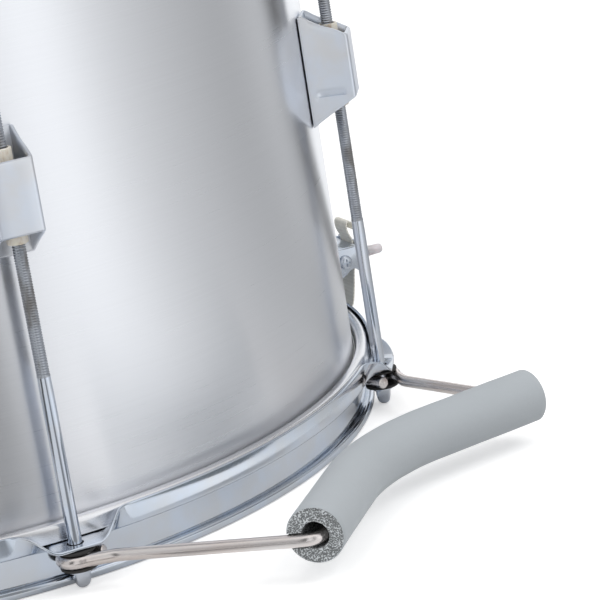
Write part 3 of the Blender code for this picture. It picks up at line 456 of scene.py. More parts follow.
class Signal:
    """A node's output that can be used in arithmetic, as if it were what it carries."""

    def __init__(self, board: "Board", socket: bpy.types.NodeSocket) -> None:
        """Wraps one output socket."""
        self.board = board
        self.socket = socket

    @staticmethod
    def _is_number(item: "Operand") -> bool:
        """Whether the operand is a plain number or carries one."""
        return item.socket.type in ("VALUE", "INT") if isinstance(item, Signal) else not isinstance(item, tuple)

    def _join(self, operation: str, left: "Operand", right: "Operand") -> "Signal":
        """Adds a Math node for numbers, and a Vector Math node for colours and vectors."""
        if self._is_number(left) and self._is_number(right):
            return self.board.add("ShaderNodeMath", {"operation": operation}, {0: left, 1: right})
        return self.board.add("ShaderNodeVectorMath", {"operation": operation}, {0: left, 1: right})

    def __add__(self, other: "Operand") -> "Signal":
        """self + other."""
        return self._join("ADD", self, other)

    def __radd__(self, other: "Operand") -> "Signal":
        """other + self."""
        return self._join("ADD", other, self)

    def __sub__(self, other: "Operand") -> "Signal":
        """self - other."""
        return self._join("SUBTRACT", self, other)

    def __rsub__(self, other: "Operand") -> "Signal":
        """other - self."""
        return self._join("SUBTRACT", other, self)

    def __mul__(self, other: "Operand") -> "Signal":
        """self * other."""
        return self._join("MULTIPLY", self, other)

    def __rmul__(self, other: "Operand") -> "Signal":
        """other * self."""
        return self._join("MULTIPLY", other, self)

    def __truediv__(self, other: "Operand") -> "Signal":
        """self / other."""
        return self._join("DIVIDE", self, other)

    def __rtruediv__(self, other: "Operand") -> "Signal":
        """other / self."""
        return self._join("DIVIDE", other, self)

    def __pow__(self, other: "Operand") -> "Signal":
        """self ** other."""
        return self._join("POWER", self, other)

    def __gt__(self, other: "Operand") -> "Signal":
        """1 where self is above other, else 0."""
        return self._join("GREATER_THAN", self, other)

    def dot(self, other: "Operand") -> "Signal":
        """The dot product of two vectors, as a number."""
        settings = {"operation": "DOT_PRODUCT"}
        return self.board.add("ShaderNodeVectorMath", settings, {0: self, 1: other}, out="Value")

    def length(self) -> "Signal":
        """A vector's length."""
        return self.board.add("ShaderNodeVectorMath", {"operation": "LENGTH"}, {0: self}, out="Value")

    def ease(self, low: float, high: float) -> "Signal":
        """A smooth 0 to 1 as the value goes from low to high, or from high to low if they are swapped."""
        limits = (low, high, 0.0, 1.0) if low < high else (high, low, 1.0, 0.0)
        sockets = {0: self, 1: limits[0], 2: limits[1], 3: limits[2], 4: limits[3]}
        return self.board.add("ShaderNodeMapRange", {"interpolation_type": "SMOOTHSTEP"}, sockets)

    def blend(self, low: Union["Signal", Colour], high: Union["Signal", Colour]) -> "Signal":
        """A colour between two others, with this value as the share of the second."""
        settings = {"data_type": "RGBA", "clamp_factor": True}
        return self.board.add("ShaderNodeMix", settings, {0: self, 6: low, 7: high}, out=2)


Operand = Union[Signal, float, tuple]
Feed = dict[Union[int, str], Operand]


class Board:
    """A node tree with a Principled shader, and one method that adds any other node."""

    def __init__(self, name: str) -> None:
        """Starts a new material."""
        self.product = bpy.data.materials.new(name)
        self.product.use_nodes = True
        self.tree = self.product.node_tree
        self.shader = self.tree.nodes["Principled BSDF"]

    def add(self, kind: str, settings: Optional[dict] = None, feed: Optional[Feed] = None, out: Union[int, str] = 0) -> Signal:
        """Adds a node.

        Args:
            kind: the node's type.
            settings: its settings, set before its sockets. A ramp takes "stops": [(place, colour)].
            feed: the value or signal of each of its inputs.
            out: which output is wanted.

        Returns:
            That output.
        """
        node = self.tree.nodes.new(kind)
        for key, value in (settings or {}).items():
            if key == "stops":
                self._stops(node.color_ramp, value)
            else:
                setattr(node, key, value)
        for key, item in (feed or {}).items():
            self.connect(item, node.inputs[key])
        return Signal(self, node.outputs[out])

    @staticmethod
    def _stops(ramp: bpy.types.ColorRamp, stops: Sequence[tuple[float, Colour]]) -> None:
        """Sets a ramp's stops."""
        while len(ramp.elements) < len(stops):
            ramp.elements.new(0.5)
        for element, (place, colour) in zip(ramp.elements, stops):
            element.position = place
            element.color = (*colour, 1.0)

    def connect(self, item: Operand, socket: bpy.types.NodeSocket) -> None:
        """Links a signal to an input, or sets the input's value."""
        if isinstance(item, Signal):
            self.tree.links.new(item.socket, socket)
        elif isinstance(item, tuple):
            socket.default_value = (*item, 1.0) if socket.type == "RGBA" else item
        elif socket.type == "VECTOR":
            socket.default_value = (item, item, item)
        else:
            socket.default_value = item

    def put(self, **sockets: Operand) -> None:
        """Feeds the shader's sockets, named in lower case with _ for a space."""
        for name, item in sockets.items():
            self.connect(item, self.shader.inputs[name.replace("_", " ").title().replace("Ior", "IOR")])

    def place(self) -> Signal:
        """The point's place on the resting drum, in metres."""
        return self.add("ShaderNodeTexCoord", out="Object")

    def run(self) -> Signal:
        """How far along and across its strip the point is, in millimetres."""
        return self.add("ShaderNodeAttribute", {"attribute_name": "run"}, out="Vector")

    def split(self, vector: Signal, axis: str) -> Signal:
        """One component of a vector."""
        return self.add("ShaderNodeSeparateXYZ", feed={0: vector}, out=axis)

    def noise(self, vector: Signal, scale: float, detail: float = 3.0, rough: float = 0.55) -> Signal:
        """Soft noise about 0.5, the same on every render."""
        feed = {"Vector": vector, "Scale": scale, "Detail": detail, "Roughness": rough}
        return self.add("ShaderNodeTexNoise", feed=feed, out=0)

    def cells(self, vector: Signal, scale: float, feature: str = "F1") -> Signal:
        """Distance to the nearest cell point or cell edge."""
        return self.add("ShaderNodeTexVoronoi", {"feature": feature}, {"Vector": vector, "Scale": scale}, out=0)

    def bump(self, height: Signal, depth: float, strength: float = 1.0) -> Signal:
        """A bumped normal, from a height of 0 to 1 and the depth of 1 in millimetres."""
        feed = {"Strength": strength, "Distance": depth * MM, "Height": height}
        return self.add("ShaderNodeBump", feed=feed)


@dataclass(frozen=True)
class Finish:
    """A surface finish, and what every finish has."""

    name: str
    colour: Colour
    roughness: float

    def material(self) -> bpy.types.Material:
        """The finish's material, made once."""
        found = bpy.data.materials.get(self.name)
        if found:
            return found
        board = Board(self.name)
        board.put(base_color=self.colour, roughness=self.roughness)
        self.dress(board)
        return board.product

    def dress(self, board: Board) -> None:
        """Adds what varies over the surface."""

    def shade(self, factor: float, tint: Colour = (1.0, 1.0, 1.0)) -> Colour:
        """The finish's colour, lighter or darker and tinted."""
        return tuple(min(1.0, c * factor * t) for c, t in zip(self.colour, tint))


@dataclass(frozen=True)
class BrushedAluminium(Finish):
    """Aluminium sheet with fine brush lines round the drum."""

    anisotropy: float = 0.75
    lines_per_metre: float = 1500.0

    def dress(self, board: Board) -> None:
        """Draws the brush lines and a broad cloudiness."""
        place = board.place()
        lines = board.noise(place * (7.0, 7.0, self.lines_per_metre), 1.0, 3.0, 0.7)
        fine = board.noise(place * (26.0, 26.0, self.lines_per_metre * 2.2), 1.0, 2.0, 0.6)
        cloud = board.noise(place * (6.0, 6.0, 14.0), 1.0, 2.0)
        grain = lines * 0.6 + fine * 0.4
        tone = (grain - 0.5) * 0.9 + (cloud - 0.5) * 0.25 + 0.5
        board.put(
            base_color=tone.blend(self.shade(0.93), self.shade(1.05)),
            metallic=1.0,
            roughness=(grain - 0.5) * 0.16 + (cloud - 0.5) * 0.08 + self.roughness,
            anisotropic=self.anisotropy,
            anisotropic_rotation=0.25,
            normal=board.bump(grain, 0.012, 0.5),
        )


@dataclass(frozen=True)
class PlatedSteel(Finish):
    """Steel with a bright plating that clouds a little."""

    tint: Colour = (0.94, 0.99, 1.06)
    cloud_scale: float = 60.0
    grain_depth: float = 0.004

    def dress(self, board: Board) -> None:
        """Clouds the plating, and adds faint pits and handling haze."""
        place = board.place()
        cloud = board.noise(place, self.cloud_scale, 3.0)
        grain = board.noise(place, 1400.0, 2.0)
        haze = board.noise(place, 16.0, 4.0, 0.65).ease(0.45, 0.7)
        board.put(
            base_color=cloud.ease(0.3, 0.7).blend(self.shade(0.96), self.shade(1.02, self.tint)),
            metallic=1.0,
            roughness=(cloud - 0.5) * 0.08 + haze * 0.05 + self.roughness,
            normal=board.bump(grain, self.grain_depth, 0.5),
        )


@dataclass(frozen=True)
class ThreadSteel(PlatedSteel):
    """Plated steel with grey grease in the thread's grooves."""

    def dress(self, board: Board) -> None:
        """Darkens patches of the thread."""
        place = board.place()
        grime = board.noise(place * (1.0, 1.0, 0.35), 170.0, 3.0).ease(0.42, 0.66)
        board.put(
            base_color=grime.blend(self.colour, self.shade(0.55, (1.08, 1.0, 0.9))),
            metallic=1.0,
            roughness=grime * 0.2 + self.roughness,
        )


@dataclass(frozen=True)
class DrawnStainless(Finish):
    """Stainless wire with draw lines along it and a faintly warm tone."""

    def dress(self, board: Board) -> None:
        """Adds draw lines along the wire and a faint tint in long patches."""
        run = board.run()
        lines = board.noise(run * (0.012, 1.1, 1.1), 1.0, 3.0, 0.6)
        tint = board.noise(run * (0.03, 0.2, 0.2), 1.0, 2.0).ease(0.35, 0.7)
        colour = tint.blend(self.colour, self.shade(0.92, (1.03, 0.98, 0.95)))
        board.put(
            base_color=(lines * 0.5 + 0.75) * colour,
            metallic=1.0,
            roughness=(lines - 0.5) * 0.15 + self.roughness,
            normal=board.bump(lines, 0.02, 0.5),
        )


@dataclass(frozen=True)
class StainedNylon(Finish):
    """Pale nylon, stained brown by thread grease."""

    stain: Colour = (0.42, 0.27, 0.14)

    def dress(self, board: Board) -> None:
        """Stains it in runs and patches."""
        place = board.place()
        patch = board.noise(place * (1.0, 1.0, 0.45), 230.0, 4.0, 0.6).ease(0.5, 0.72)
        grain = board.noise(place, 900.0, 2.0)
        board.put(
            base_color=(patch * 0.75).blend(self.colour, self.stain),
            roughness=patch * 0.15 + self.roughness,
            subsurface_weight=0.15,
            subsurface_radius=(1.0, 0.8, 0.5),
            subsurface_scale=0.002,
            normal=board.bump(grain, 0.02, 0.5),
        )


@dataclass(frozen=True)
class CoatedFilm(Finish):
    """A head's film with a sprayed coating, scuffed where sticks land."""

    scuffs: bool = True
    coat_edge: float = 0.192

    def dress(self, board: Board) -> None:
        """Adds the coating's grain, its sprayed edge and, on the playing side, grey stick marks."""
        place = board.place()
        flat = place * (1.0, 1.0, 0.0)
        reach = flat.length()
        grain = board.noise(place, 1300.0, 2.0)
        mottle = board.noise(place, 22.0, 4.0)
        edge = (reach + (mottle - 0.5) * 0.006).ease(self.coat_edge, self.coat_edge + 0.003)
        colour = (grain * 0.5 + mottle * 0.5).blend(self.shade(0.94), self.shade(1.04))
        rough = (grain - 0.5) * 0.2 + self.roughness
        if self.scuffs:
            marks = board.noise(flat * (1.0, 2.6, 1.0), 95.0, 4.0, 0.7).ease(0.56, 0.68)
            short = board.noise(flat * (3.1, 1.0, 1.0), 75.0, 3.0, 0.7).ease(0.58, 0.7)
            played = reach.ease(0.105, 0.02)
            worn = (marks * 0.6 + short * 0.5) * played
            colour = (worn * 0.55).blend(colour, (0.36, 0.36, 0.38))
            rough = rough - worn * 0.15
        colour = edge.blend(colour, self.shade(0.82, (1.0, 1.0, 0.97)))
        board.put(
            base_color=colour,
            roughness=rough - edge * 0.3,
            subsurface_weight=0.1,
            subsurface_scale=0.003,
            normal=board.bump(grain * (1.0 - edge), 0.03, 0.8),
        )


@dataclass(frozen=True)
class WovenTape(Finish):
    """A woven tape, its threads counted along and across the strip."""

    thread: float = 0.9

    def dress(self, board: Board) -> None:
        """Weaves over and under threads, and adds some grime."""
        run = board.run()
        along = board.split(run, "X")
        across = board.split(run, "Y")
        turn = math.pi / self.thread
        warp = board.add("ShaderNodeMath", {"operation": "SINE"}, {0: across * turn})
        weft = board.add("ShaderNodeMath", {"operation": "SINE"}, {0: along * turn})
        weave = warp * weft * 0.5 + 0.5
        ribs = weft * 0.5 + 0.5
        grime = board.noise(board.place(), 120.0, 4.0, 0.65).ease(0.45, 0.75)
        # painted shade and highlight: the weave's relief, which also drives the bump, darkens the colour in its dips
        # and lightens it on its crowns
        colour = (weave * 0.6 + ribs * 0.4).blend(self.shade(0.88), self.shade(1.08))
        board.put(
            base_color=(grime * 0.3).blend(colour, self.shade(0.62, (1.0, 0.95, 0.8))),
            roughness=self.roughness,
            sheen_weight=0.2,
            normal=board.bump(weave * 0.6 + ribs * 0.4, 0.16, 0.8),
        )


@dataclass(frozen=True)
class FoamSkin(Finish):
    """The smooth moulded skin of closed-cell foam."""

    def dress(self, board: Board) -> None:
        """Adds a soft mottle, fine grain and the odd scuff."""
        place = board.place()
        mottle = board.noise(place, 42.0, 4.0)
        grain = board.noise(place, 1100.0, 3.0, 0.6)
        dents = board.noise(place, 75.0, 2.0)
        scuff = board.noise(place * (1.0, 1.0, 2.0), 160.0, 4.0, 0.7).ease(0.66, 0.76)
        tone = mottle * 0.55 + grain * 0.45
        colour = tone.blend(self.shade(0.93), self.shade(1.07))
        board.put(
            base_color=(scuff * 0.25).blend(colour, self.shade(1.25)),
            roughness=(grain - 0.5) * 0.15 + self.roughness,
            sheen_weight=0.12,
            normal=board.bump(grain * 0.25 + dents * 0.75, 0.22, 0.7),
        )


@dataclass(frozen=True)
class FoamCut(Finish):
    """The sawn face of closed-cell foam, its cells open."""

    cells_per_metre: float = 1900.0

    def dress(self, board: Board) -> None:
        """Opens small pores in a pale ground, darkened with painted shade."""
        place = board.place()
        near = board.cells(place, self.cells_per_metre)
        small = board.cells(place, self.cells_per_metre * 2.3)
        wide = board.noise(place, 420.0, 2.0)
        pore = (near + wide * 0.5).ease(0.9, 0.68)
        # painted shade: the pore mask darkens the colour inside the open cells, where shade would fall, and also sinks
        # them in the bump
        pore_depth_and_shade = pore * 0.8 + small.ease(0.3, 0.12) * 0.35
        board.put(
            base_color=pore_depth_and_shade.blend(self.shade(1.5), self.shade(0.16)),
            roughness=self.roughness,
            normal=board.bump(1.0 - pore_depth_and_shade, 0.4, 1.0),
        )


@dataclass(frozen=True)
class Rubber(Finish):
    """Black rubber with a dusty bloom."""

    def dress(self, board: Board) -> None:
        """Adds the bloom and a fine grain."""
        place = board.place()
        bloom = board.noise(place, 110.0, 4.0).ease(0.4, 0.75)
        grain = board.noise(place, 1000.0, 2.0)
        board.put(
            base_color=bloom.blend(self.colour, self.shade(2.2, (1.0, 0.97, 0.92))),
            roughness=bloom * 0.15 + self.roughness,
            normal=board.bump(grain, 0.03, 0.6),
        )


@dataclass(frozen=True)
class ClearVinyl(Finish):
    """Translucent vinyl, a little milky."""

    def dress(self, board: Board) -> None:
        """Clouds it and lets light through."""
        cloud = board.noise(board.place(), 260.0, 3.0)
        board.put(
            base_color=cloud.blend(self.shade(0.95), self.shade(1.04)),
            roughness=(cloud - 0.5) * 0.15 + self.roughness,
            transmission_weight=0.35,
            subsurface_weight=0.4,
            subsurface_radius=(1.0, 0.75, 0.75),
            subsurface_scale=0.003,
            ior=1.45,
        )


@dataclass(frozen=True)
class PolishedBrass(Finish):
    """Brass, polished and lightly tarnished."""

    def dress(self, board: Board) -> None:
        """Tarnishes it in patches."""
        tarnish = board.noise(board.place(), 190.0, 4.0).ease(0.45, 0.75)
        board.put(
            base_color=tarnish.blend(self.colour, self.shade(0.62, (1.0, 0.92, 0.75))),
            metallic=1.0,
            roughness=tarnish * 0.2 + self.roughness,
        )


@dataclass(frozen=True)
class WoundWire(Finish):
    """Snare strands, wound like a fine spring along one direction."""

    pitch: float = 1.1
    phi: float = GAUGE.snare_phi

    def dress(self, board: Board) -> None:
        """Winds the strands, with painted shade in the grooves between turns and a painted highlight on the crests."""
        way = radial(self.phi)
        along = board.place().dot((way.x, way.y, 0.0))
        wave = board.add("ShaderNodeMath", {"operation": "SINE"}, {0: along * (2 * math.pi / (self.pitch * MM))})
        groove = wave * 0.5 + 0.5
        board.put(
            # painted shade and highlight: the groove mask darkens the colour in the grooves and lightens it on the
            # crests
            base_color=groove.blend(self.shade(0.4), self.shade(1.1)),
            metallic=1.0,
            roughness=self.roughness,
            normal=board.bump(groove, 0.3, 1.0),
        )


@dataclass(frozen=True)
class Finishes:
    """Every finish on the drum."""

    shell: Finish = BrushedAluminium("brushed_shell_aluminium", (0.84, 0.85, 0.88), 0.30, 0.93)
    lining: Finish = PlatedSteel("plain_inner_aluminium", (0.70, 0.71, 0.73), 0.42)
    flesh: Finish = BrushedAluminium("spun_ring_aluminium", (0.84, 0.84, 0.86), 0.26, 0.6, 900.0)
    hoop: Finish = PlatedSteel("plated_hoop_steel", (0.66, 0.69, 0.735), 0.10)
    small: Finish = PlatedSteel("plated_small_steel", (0.66, 0.69, 0.73), 0.14)
    rod: Finish = PlatedSteel("plated_rod_steel", (0.64, 0.665, 0.71), 0.10)
    thread: Finish = ThreadSteel("greased_thread_steel", (0.46, 0.485, 0.53), 0.28)
    lug: Finish = PlatedSteel("satin_lug_steel", (0.75, 0.76, 0.785), 0.34)
    zinc: Finish = PlatedSteel("zinc_plated_steel", (0.60, 0.64, 0.70), 0.26)
    wire: Finish = DrawnStainless("drawn_stainless_wire", (0.76, 0.72, 0.705), 0.25)
    nylon: Finish = StainedNylon("grease_stained_nylon", (0.74, 0.70, 0.62), 0.5)
    film: Finish = CoatedFilm("coated_playing_film", (0.86, 0.86, 0.84), 0.55)
    film_plain: Finish = CoatedFilm("plain_snare_film", (0.80, 0.81, 0.80), 0.4, False, 0.3)
    tape: Finish = WovenTape("woven_strap_tape", (0.93, 0.905, 0.82), 0.75)
    foam: Finish = FoamSkin("grey_foam_skin", (0.405, 0.435, 0.46), 0.78)
    foam_cut: Finish = FoamCut("grey_foam_cut", (0.44, 0.465, 0.48), 0.95)
    rubber: Finish = Rubber("black_washer_rubber", (0.022, 0.021, 0.021), 0.62)
    vinyl: Finish = ClearVinyl("milky_cap_vinyl", (0.90, 0.84, 0.86), 0.3)
    brass: Finish = PolishedBrass("vent_brass", (0.78, 0.60, 0.30), 0.22)
    strand: Finish = WoundWire("wound_snare_strand", (0.62, 0.64, 0.67), 0.3)


@dataclass
class ShellAndHeads:
    """The shell, its vent, the two films and the rings that hold them."""

    finishes: Finishes
    sides: int = 192
    lip_in: float = 192.2
    vent_phi: float = 180.0
    vent_radius: float = 6.0
    film: float = 0.4
    film_gap: float = 0.35
    collar_end: float = 135.5
    ring_in: float = 204.6
    ring_out: float = 210.0
    ring_bottom: float = 139.8

    def build(self) -> None:
        """Builds every piece."""
        self.shell()
        self.vent()
        for end, name in ((End.BATTER, "batter"), (End.SNARE, "snare")):
            self.head(end, name)
            self.ring(end, name)

    def shell(self) -> None:
        """The sheet, its ends turned in over rounded bearing edges, and the hole for the vent."""
        r, h, t = GAUGE.shell_radius, GAUGE.shell_half, GAUGE.shell_sheet
        upper = [(r, h, 3.6), (self.lip_in, h - 1.0, 0.4), (self.lip_in, h - 1.0 - t, 0.4), (r - t, h - t, 2.7)]
        lower = [(x, -z, reach) for x, z, reach in reversed(upper)]
        draft = Draft().revolve(rounded(upper + lower, 6), even_angles(self.sides))
        tool = Draft().turn([(r - 12, self.vent_radius), (r + 8, self.vent_radius)], 32, axis="X")
        tool.mesh.transform(Matrix.Rotation(math.radians(self.vent_phi - 90), 4, "Z"))
        draft.cut(tool)
        for face in draft.mesh.faces:
            middle = face.calc_center_median()
            face.material_index = int(middle.xy.length < r - t + 0.2)
        paints = (self.finishes.shell, self.finishes.lining)
        draft.make("shell_sheet", seat(), paints, Body.DRUM, "shell_aluminium", ["shell"])

    def vent(self) -> None:
        """The eyelet that lines the vent hole."""
        bore = self.vent_radius - 1.6
        wide = self.vent_radius + 2.2
        skirt = bore + 1.0
        corners = [(bore, -3.2, 0.3), (wide, -3.2, 0.3), (wide, -2.4, 0.3), (skirt, -2.4, 0.2)]
        corners += [(skirt, 0.4, 0.2), (wide, 0.4, 0.2), (wide, 1.4, 0.8), (bore, 1.4, 1.0)]
        loops = []
        for k in range(40):
            turn = 2 * math.pi * k / 40
            points = rounded(corners, 4)
            loops.append([Vector((x, r * math.cos(turn), r * math.sin(turn))) for r, x in points])
        draft = Draft().skin(loops, closed=True)
        place = seat(self.vent_phi, GAUGE.shell_radius)
        draft.make("vent_ring", place, (self.finishes.brass,), Body.DRUM, "brass", ["vent_eyelet"])

    def head(self, end: End, name: str) -> None:
        """A film: a flat disc that turns down over the bearing edge into a collar."""
        inner = GAUGE.shell_radius + self.film_gap
        outer = inner + self.film
        face = GAUGE.head_face
        rise = [(0.0, face, 0), (outer, face, 4.0), (outer, self.collar_end, 0)]
        back = [(inner, self.collar_end, 0), (inner, face - self.film, 3.7), (0.0, face - self.film, 0)]
        top = self.spread(rounded(rise, 8, closed=False))
        under = list(reversed(self.spread(list(reversed(rounded(back, 8, closed=False))))))
        angles = even_angles(self.sides)
        draft = Draft()
        profile = [(r, end.value * h) for r, h in top + under]
        loops = [[radial(phi) * max(r, 0.05) + UP * h for phi in angles] for r, h in profile]
        draft.skin(loops)
        paint = self.finishes.film if end is End.BATTER else self.finishes.film_plain
        draft.make(f"{name}_film", seat(), (paint,), Body.DRUM, "head_film", [f"{name}_head"])

    @staticmethod
    def spread(profile: list[Point]) -> list[Point]:
        """Adds rings to the flat of a profile that starts at the axis."""
        start, rest = profile[0], profile[1:]
        flat = [(r, start[1]) for r in (30.0, 80.0, 130.0, 170.0, 190.0)]
        return [start] + flat + rest

    def ring(self, end: End, name: str) -> None:
        """The ring that holds the film, its upper edges well rounded."""
        corners = [(self.ring_in, GAUGE.flesh_top, 2.5), (self.ring_out, GAUGE.flesh_top, 2.5)]
        corners += [(self.ring_out, self.ring_bottom, 0.6), (self.ring_in, self.ring_bottom, 0.6)]
        section = [(r, end.value * h) for r, h in rounded(corners, 8)]
        draft = Draft().revolve(section, even_angles(self.sides))
        body = Body.UPPER_HOOP if end is End.BATTER else Body.LOWER_HOOP
        node = f"{name}_flesh_hoop"
        draft.make(f"{name}_ring", seat(), (self.finishes.flesh,), body, "bright_aluminium", [node])


@dataclass
class CounterHoops:
    """The two pressed hoops, with an ear for each rod and a rolled rim."""

    finishes: Finishes
    sheet: float = 1.4
    wall_out: float = 212.3
    lower_out: float = 206.7
    roll_out: float = 210.2
    ear_reach: float = 2.8
    ear_flat: float = 2.0
    ear_fold: float = 7.0
    ear_hole: float = 3.4
    gate_half: float = 2.6
    gate_top: float = 144.0

    def fold(self, phi: float) -> float:
        """How far the wall is folded out at that angle, from 0 to 1."""
        away = min(abs((phi - rod + 180) % 360 - 180) for rod in GAUGE.rods)
        return smoothstep((self.ear_fold - away) / (self.ear_fold - self.ear_flat))

    def section(self, phi: float) -> list[Point]:
        """The hoop's section at that angle: wall or ear, shoulder, lower wall and rolled rim."""
        fold = self.fold(phi)
        angle = fold * math.pi / 2
        t, top, rim, low = self.sheet, GAUGE.shoulder, GAUGE.rim_face, self.lower_out
        inner = Vector((self.wall_out - t, top - t))
        reach = top - t - GAUGE.flesh_top + self.ear_reach * fold
        tip_in = inner + Vector((math.sin(angle), -math.cos(angle))) * reach
        tip_out = tip_in + Vector((math.cos(angle), math.sin(angle))) * t
        corners = [(*tip_out, 0.55), (self.wall_out, top, 1.7), (low, top, 1.1)]
        corners += [(low, rim - 3.1, 0.4), (low + 0.8, rim - 3.9, 0.7), (self.roll_out, rim - 4.0, 1.9)]
        corners += [(self.roll_out, rim, 1.6), (low - t, rim, 1.9), (low - t, top - t, 2.0)]
        corners += [(*inner, 0.7), (*tip_in, 0.55)]
        return rounded(corners, 4)

    def angles(self) -> list[float]:
        """Close steps across each ear, wider ones between the ears."""
        found = set()
        for rod in GAUGE.rods:
            steps = [0.4 * k for k in range(21)] + [10.0 + 2.0 * k for k in range(10)]
            for step in steps:
                found.update({round((rod + step) % 360, 3), round((rod - step) % 360, 3)})
            found.add(round((rod + 30) % 360, 3))
        return sorted(found)

    def build(self) -> None:
        """Builds both hoops."""
        for end, name, body in ((End.BATTER, "upper", Body.UPPER_HOOP), (End.SNARE, "lower", Body.LOWER_HOOP)):
            side = end.value
            draft = Draft().revolve(lambda phi: [(r, side * h) for r, h in self.section(phi)], self.angles())
            holes = Draft()
            for phi in GAUGE.rods:
                spot = radial(phi) * GAUGE.rod_circle
                ends = sorted((side * (GAUGE.shoulder - 6), side * (GAUGE.shoulder + 6)))
                holes.turn([(z, self.ear_hole) for z in ends], 28, (spot.x, spot.y, 0))
            draft.cut(holes)
            if end is End.SNARE:
                draft.cut(self.gates())
            place, paint = seat(), (self.finishes.hoop,)
            draft.make(f"{name}_hoop_pressing", place, paint, body, "chromed_steel", [f"{name}_hoop"])

    def gates(self) -> Draft:
        """What is taken out of the lower hoop where the snare straps leave."""
        draft = Draft()
        for phi in (GAUGE.snare_phi, GAUGE.snare_phi + 180):
            sides = (radial(phi - self.gate_half), radial(phi + self.gate_half))
            corners = (sides[0] * 200, sides[1] * 200, sides[1] * 216, sides[0] * 216)
            draft.skin([[corner - UP * h for corner in corners] for h in (self.gate_top, GAUGE.rim_face + 5)])
        return draft


@dataclass
class TensionRods:
    """The twelve rods, six from each end, and the rubber washers on the two that carry the knee rest."""

    finishes: Finishes
    shank: float = 2.8
    thread_top: float = 2.75
    thread_root: float = 2.32
    pitch: float = 1.058
    tip: float = 2.6
    thread_end: float = 71.5
    cone_end: float = 77.2
    collar: float = 4.5
    collar_thick: float = 1.3
    head_across: float = 6.35
    head_length: float = 7.7
    washer: float = 6.0
    washer_thick: float = 1.4
    knee_seat: float = 150.6
    knee_low: float = 148.8
    rubber_radius: float = 7.6
    rubber_bore: float = 3.2
    rubber_thick: float = 1.3

    def build(self) -> None:
        """Builds all the rods."""
        for index, phi in enumerate(GAUGE.rods, 1):
            self.rod(index, phi, End.BATTER, False)
            self.rod(index, phi, End.SNARE, abs(phi) < 45)
            if abs(phi) < 45:
                self.rubber(index, phi, "upper", GAUGE.shoulder + GAUGE.clearance)
                self.rubber(index, phi, "lower", self.knee_low)

    def thread(self, side: int) -> list[list[Vector]]:
        """Rings of the threaded length, each a turn's slice of a real helix."""
        sides, rows = 16, 4
        count = int((self.thread_end - self.tip) / self.pitch * rows)
        loops = []
        for k in range(count + 1):
            along = self.tip + (self.thread_end - self.tip) * k / count
            fade = smoothstep((self.thread_end - along) / 1.2)
            taper = 0.9 * (1 - smoothstep((along - self.tip) / 1.0))
            loop = []
            for i in range(sides):
                phase = (along / self.pitch + side * i / sides) % 1.0
                crest = abs(2 * phase - 1)
                depth = (self.thread_top - self.thread_root) * (1 - crest) * fade
                turn = 2 * math.pi * i / sides
                reach = self.thread_top - depth - taper
                loop.append(Vector((math.cos(turn) * reach, math.sin(turn) * reach, side * along)))
            loops.append(loop)
        return loops

    def rod(self, index: int, phi: float, end: End, rests: bool) -> None:
        """One rod: thread, cone, shank, collar, square key head and, where it has one, its washer."""
        side = end.value
        head_seat = self.knee_seat if rests else GAUGE.shoulder + GAUGE.clearance + self.washer_thick
        threaded = self.thread(side)
        draft = Draft().skin(threaded, slots=[1] * (len(threaded) - 1))
        top = head_seat + self.collar_thick
        profile = [(self.thread_end - 0.2, self.thread_top - 0.1), (self.cone_end - 1.0, self.shank - 0.03)]
        profile += [(self.cone_end, self.shank)]
        profile += [(self.cone_end + k * (head_seat - self.cone_end) / 4, self.shank) for k in (1, 2, 3, 4)]
        profile += rounded([(head_seat, self.shank, 0), (head_seat, self.collar, 0.35), (top, self.collar, 0.4)], 3)[1:]
        profile += [(top, self.head_across / 2 - 0.4)]
        draft.turn([(side * z, r) for z, r in profile], 28)
        draft.add(self.key_head(side, top - 0.5, head_seat + self.head_length))
        if not rests:
            low = head_seat - self.washer_thick
            corners = [(low, self.shank + 0.25, 0), (low, self.washer, 0.35), (head_seat, self.washer, 0.35)]
            corners += [(head_seat, self.shank + 0.25, 0)]
            draft.turn([(side * z, r) for z, r in rounded(corners, 3)], 36)
        name = "upper" if end is End.BATTER else "lower"
        node = f"{name}_rod_{index}"
        place = seat(phi, GAUGE.rod_circle)
        draft.make(f"{node}_turned", place, (self.finishes.rod, self.finishes.thread), node, "zinc_steel", [node])

    def key_head(self, side: int, start: float, end: float) -> Draft:
        """A square head for the drum key, its edges eased and its end rounded."""
        half = self.head_across / 2
        draft = Draft()
        loops = []
        rows = ((start, 0.0), (end - 4.6, 0.05), (end - 2.6, 0.3), (end - 1.3, 0.65), (end - 0.45, 1.15), (end, 1.9))
        for along, shrink in rows:
            h = half - shrink
            ease = min(0.9 + shrink * 0.7, h * 0.8)
            corners = [(h, h, ease), (-h, h, ease), (-h, -h, ease), (h, -h, ease)]
            loops.append([Vector((x, y, side * along)) for x, y in rounded(corners, 4)])
        return draft.skin(loops)

    def rubber(self, index: int, phi: float, where: str, height: float) -> None:
        """A soft ring on a lower rod, its edges rounded."""
        low = height + self.rubber_thick
        bore, out = self.rubber_bore, self.rubber_radius
        corners = [(bore, height, 0.2), (out, height, 0.5), (out, low, 0.5), (bore, low, 0.2)]
        loops = []
        for k in range(40):
            turn = 2 * math.pi * k / 40
            way = Vector((math.cos(turn), math.sin(turn), 0))
            loops.append([way * r - UP * h for r, h in rounded(corners, 4)])
        draft = Draft().skin(loops, closed=True)
        node = f"rubber_washer_{index}_{where}"
        place, paint = seat(phi, GAUGE.rod_circle), (self.finishes.rubber,)
        draft.make(f"{node}_ring", place, paint, Body.LOWER_HOOP, "black_rubber", [node])


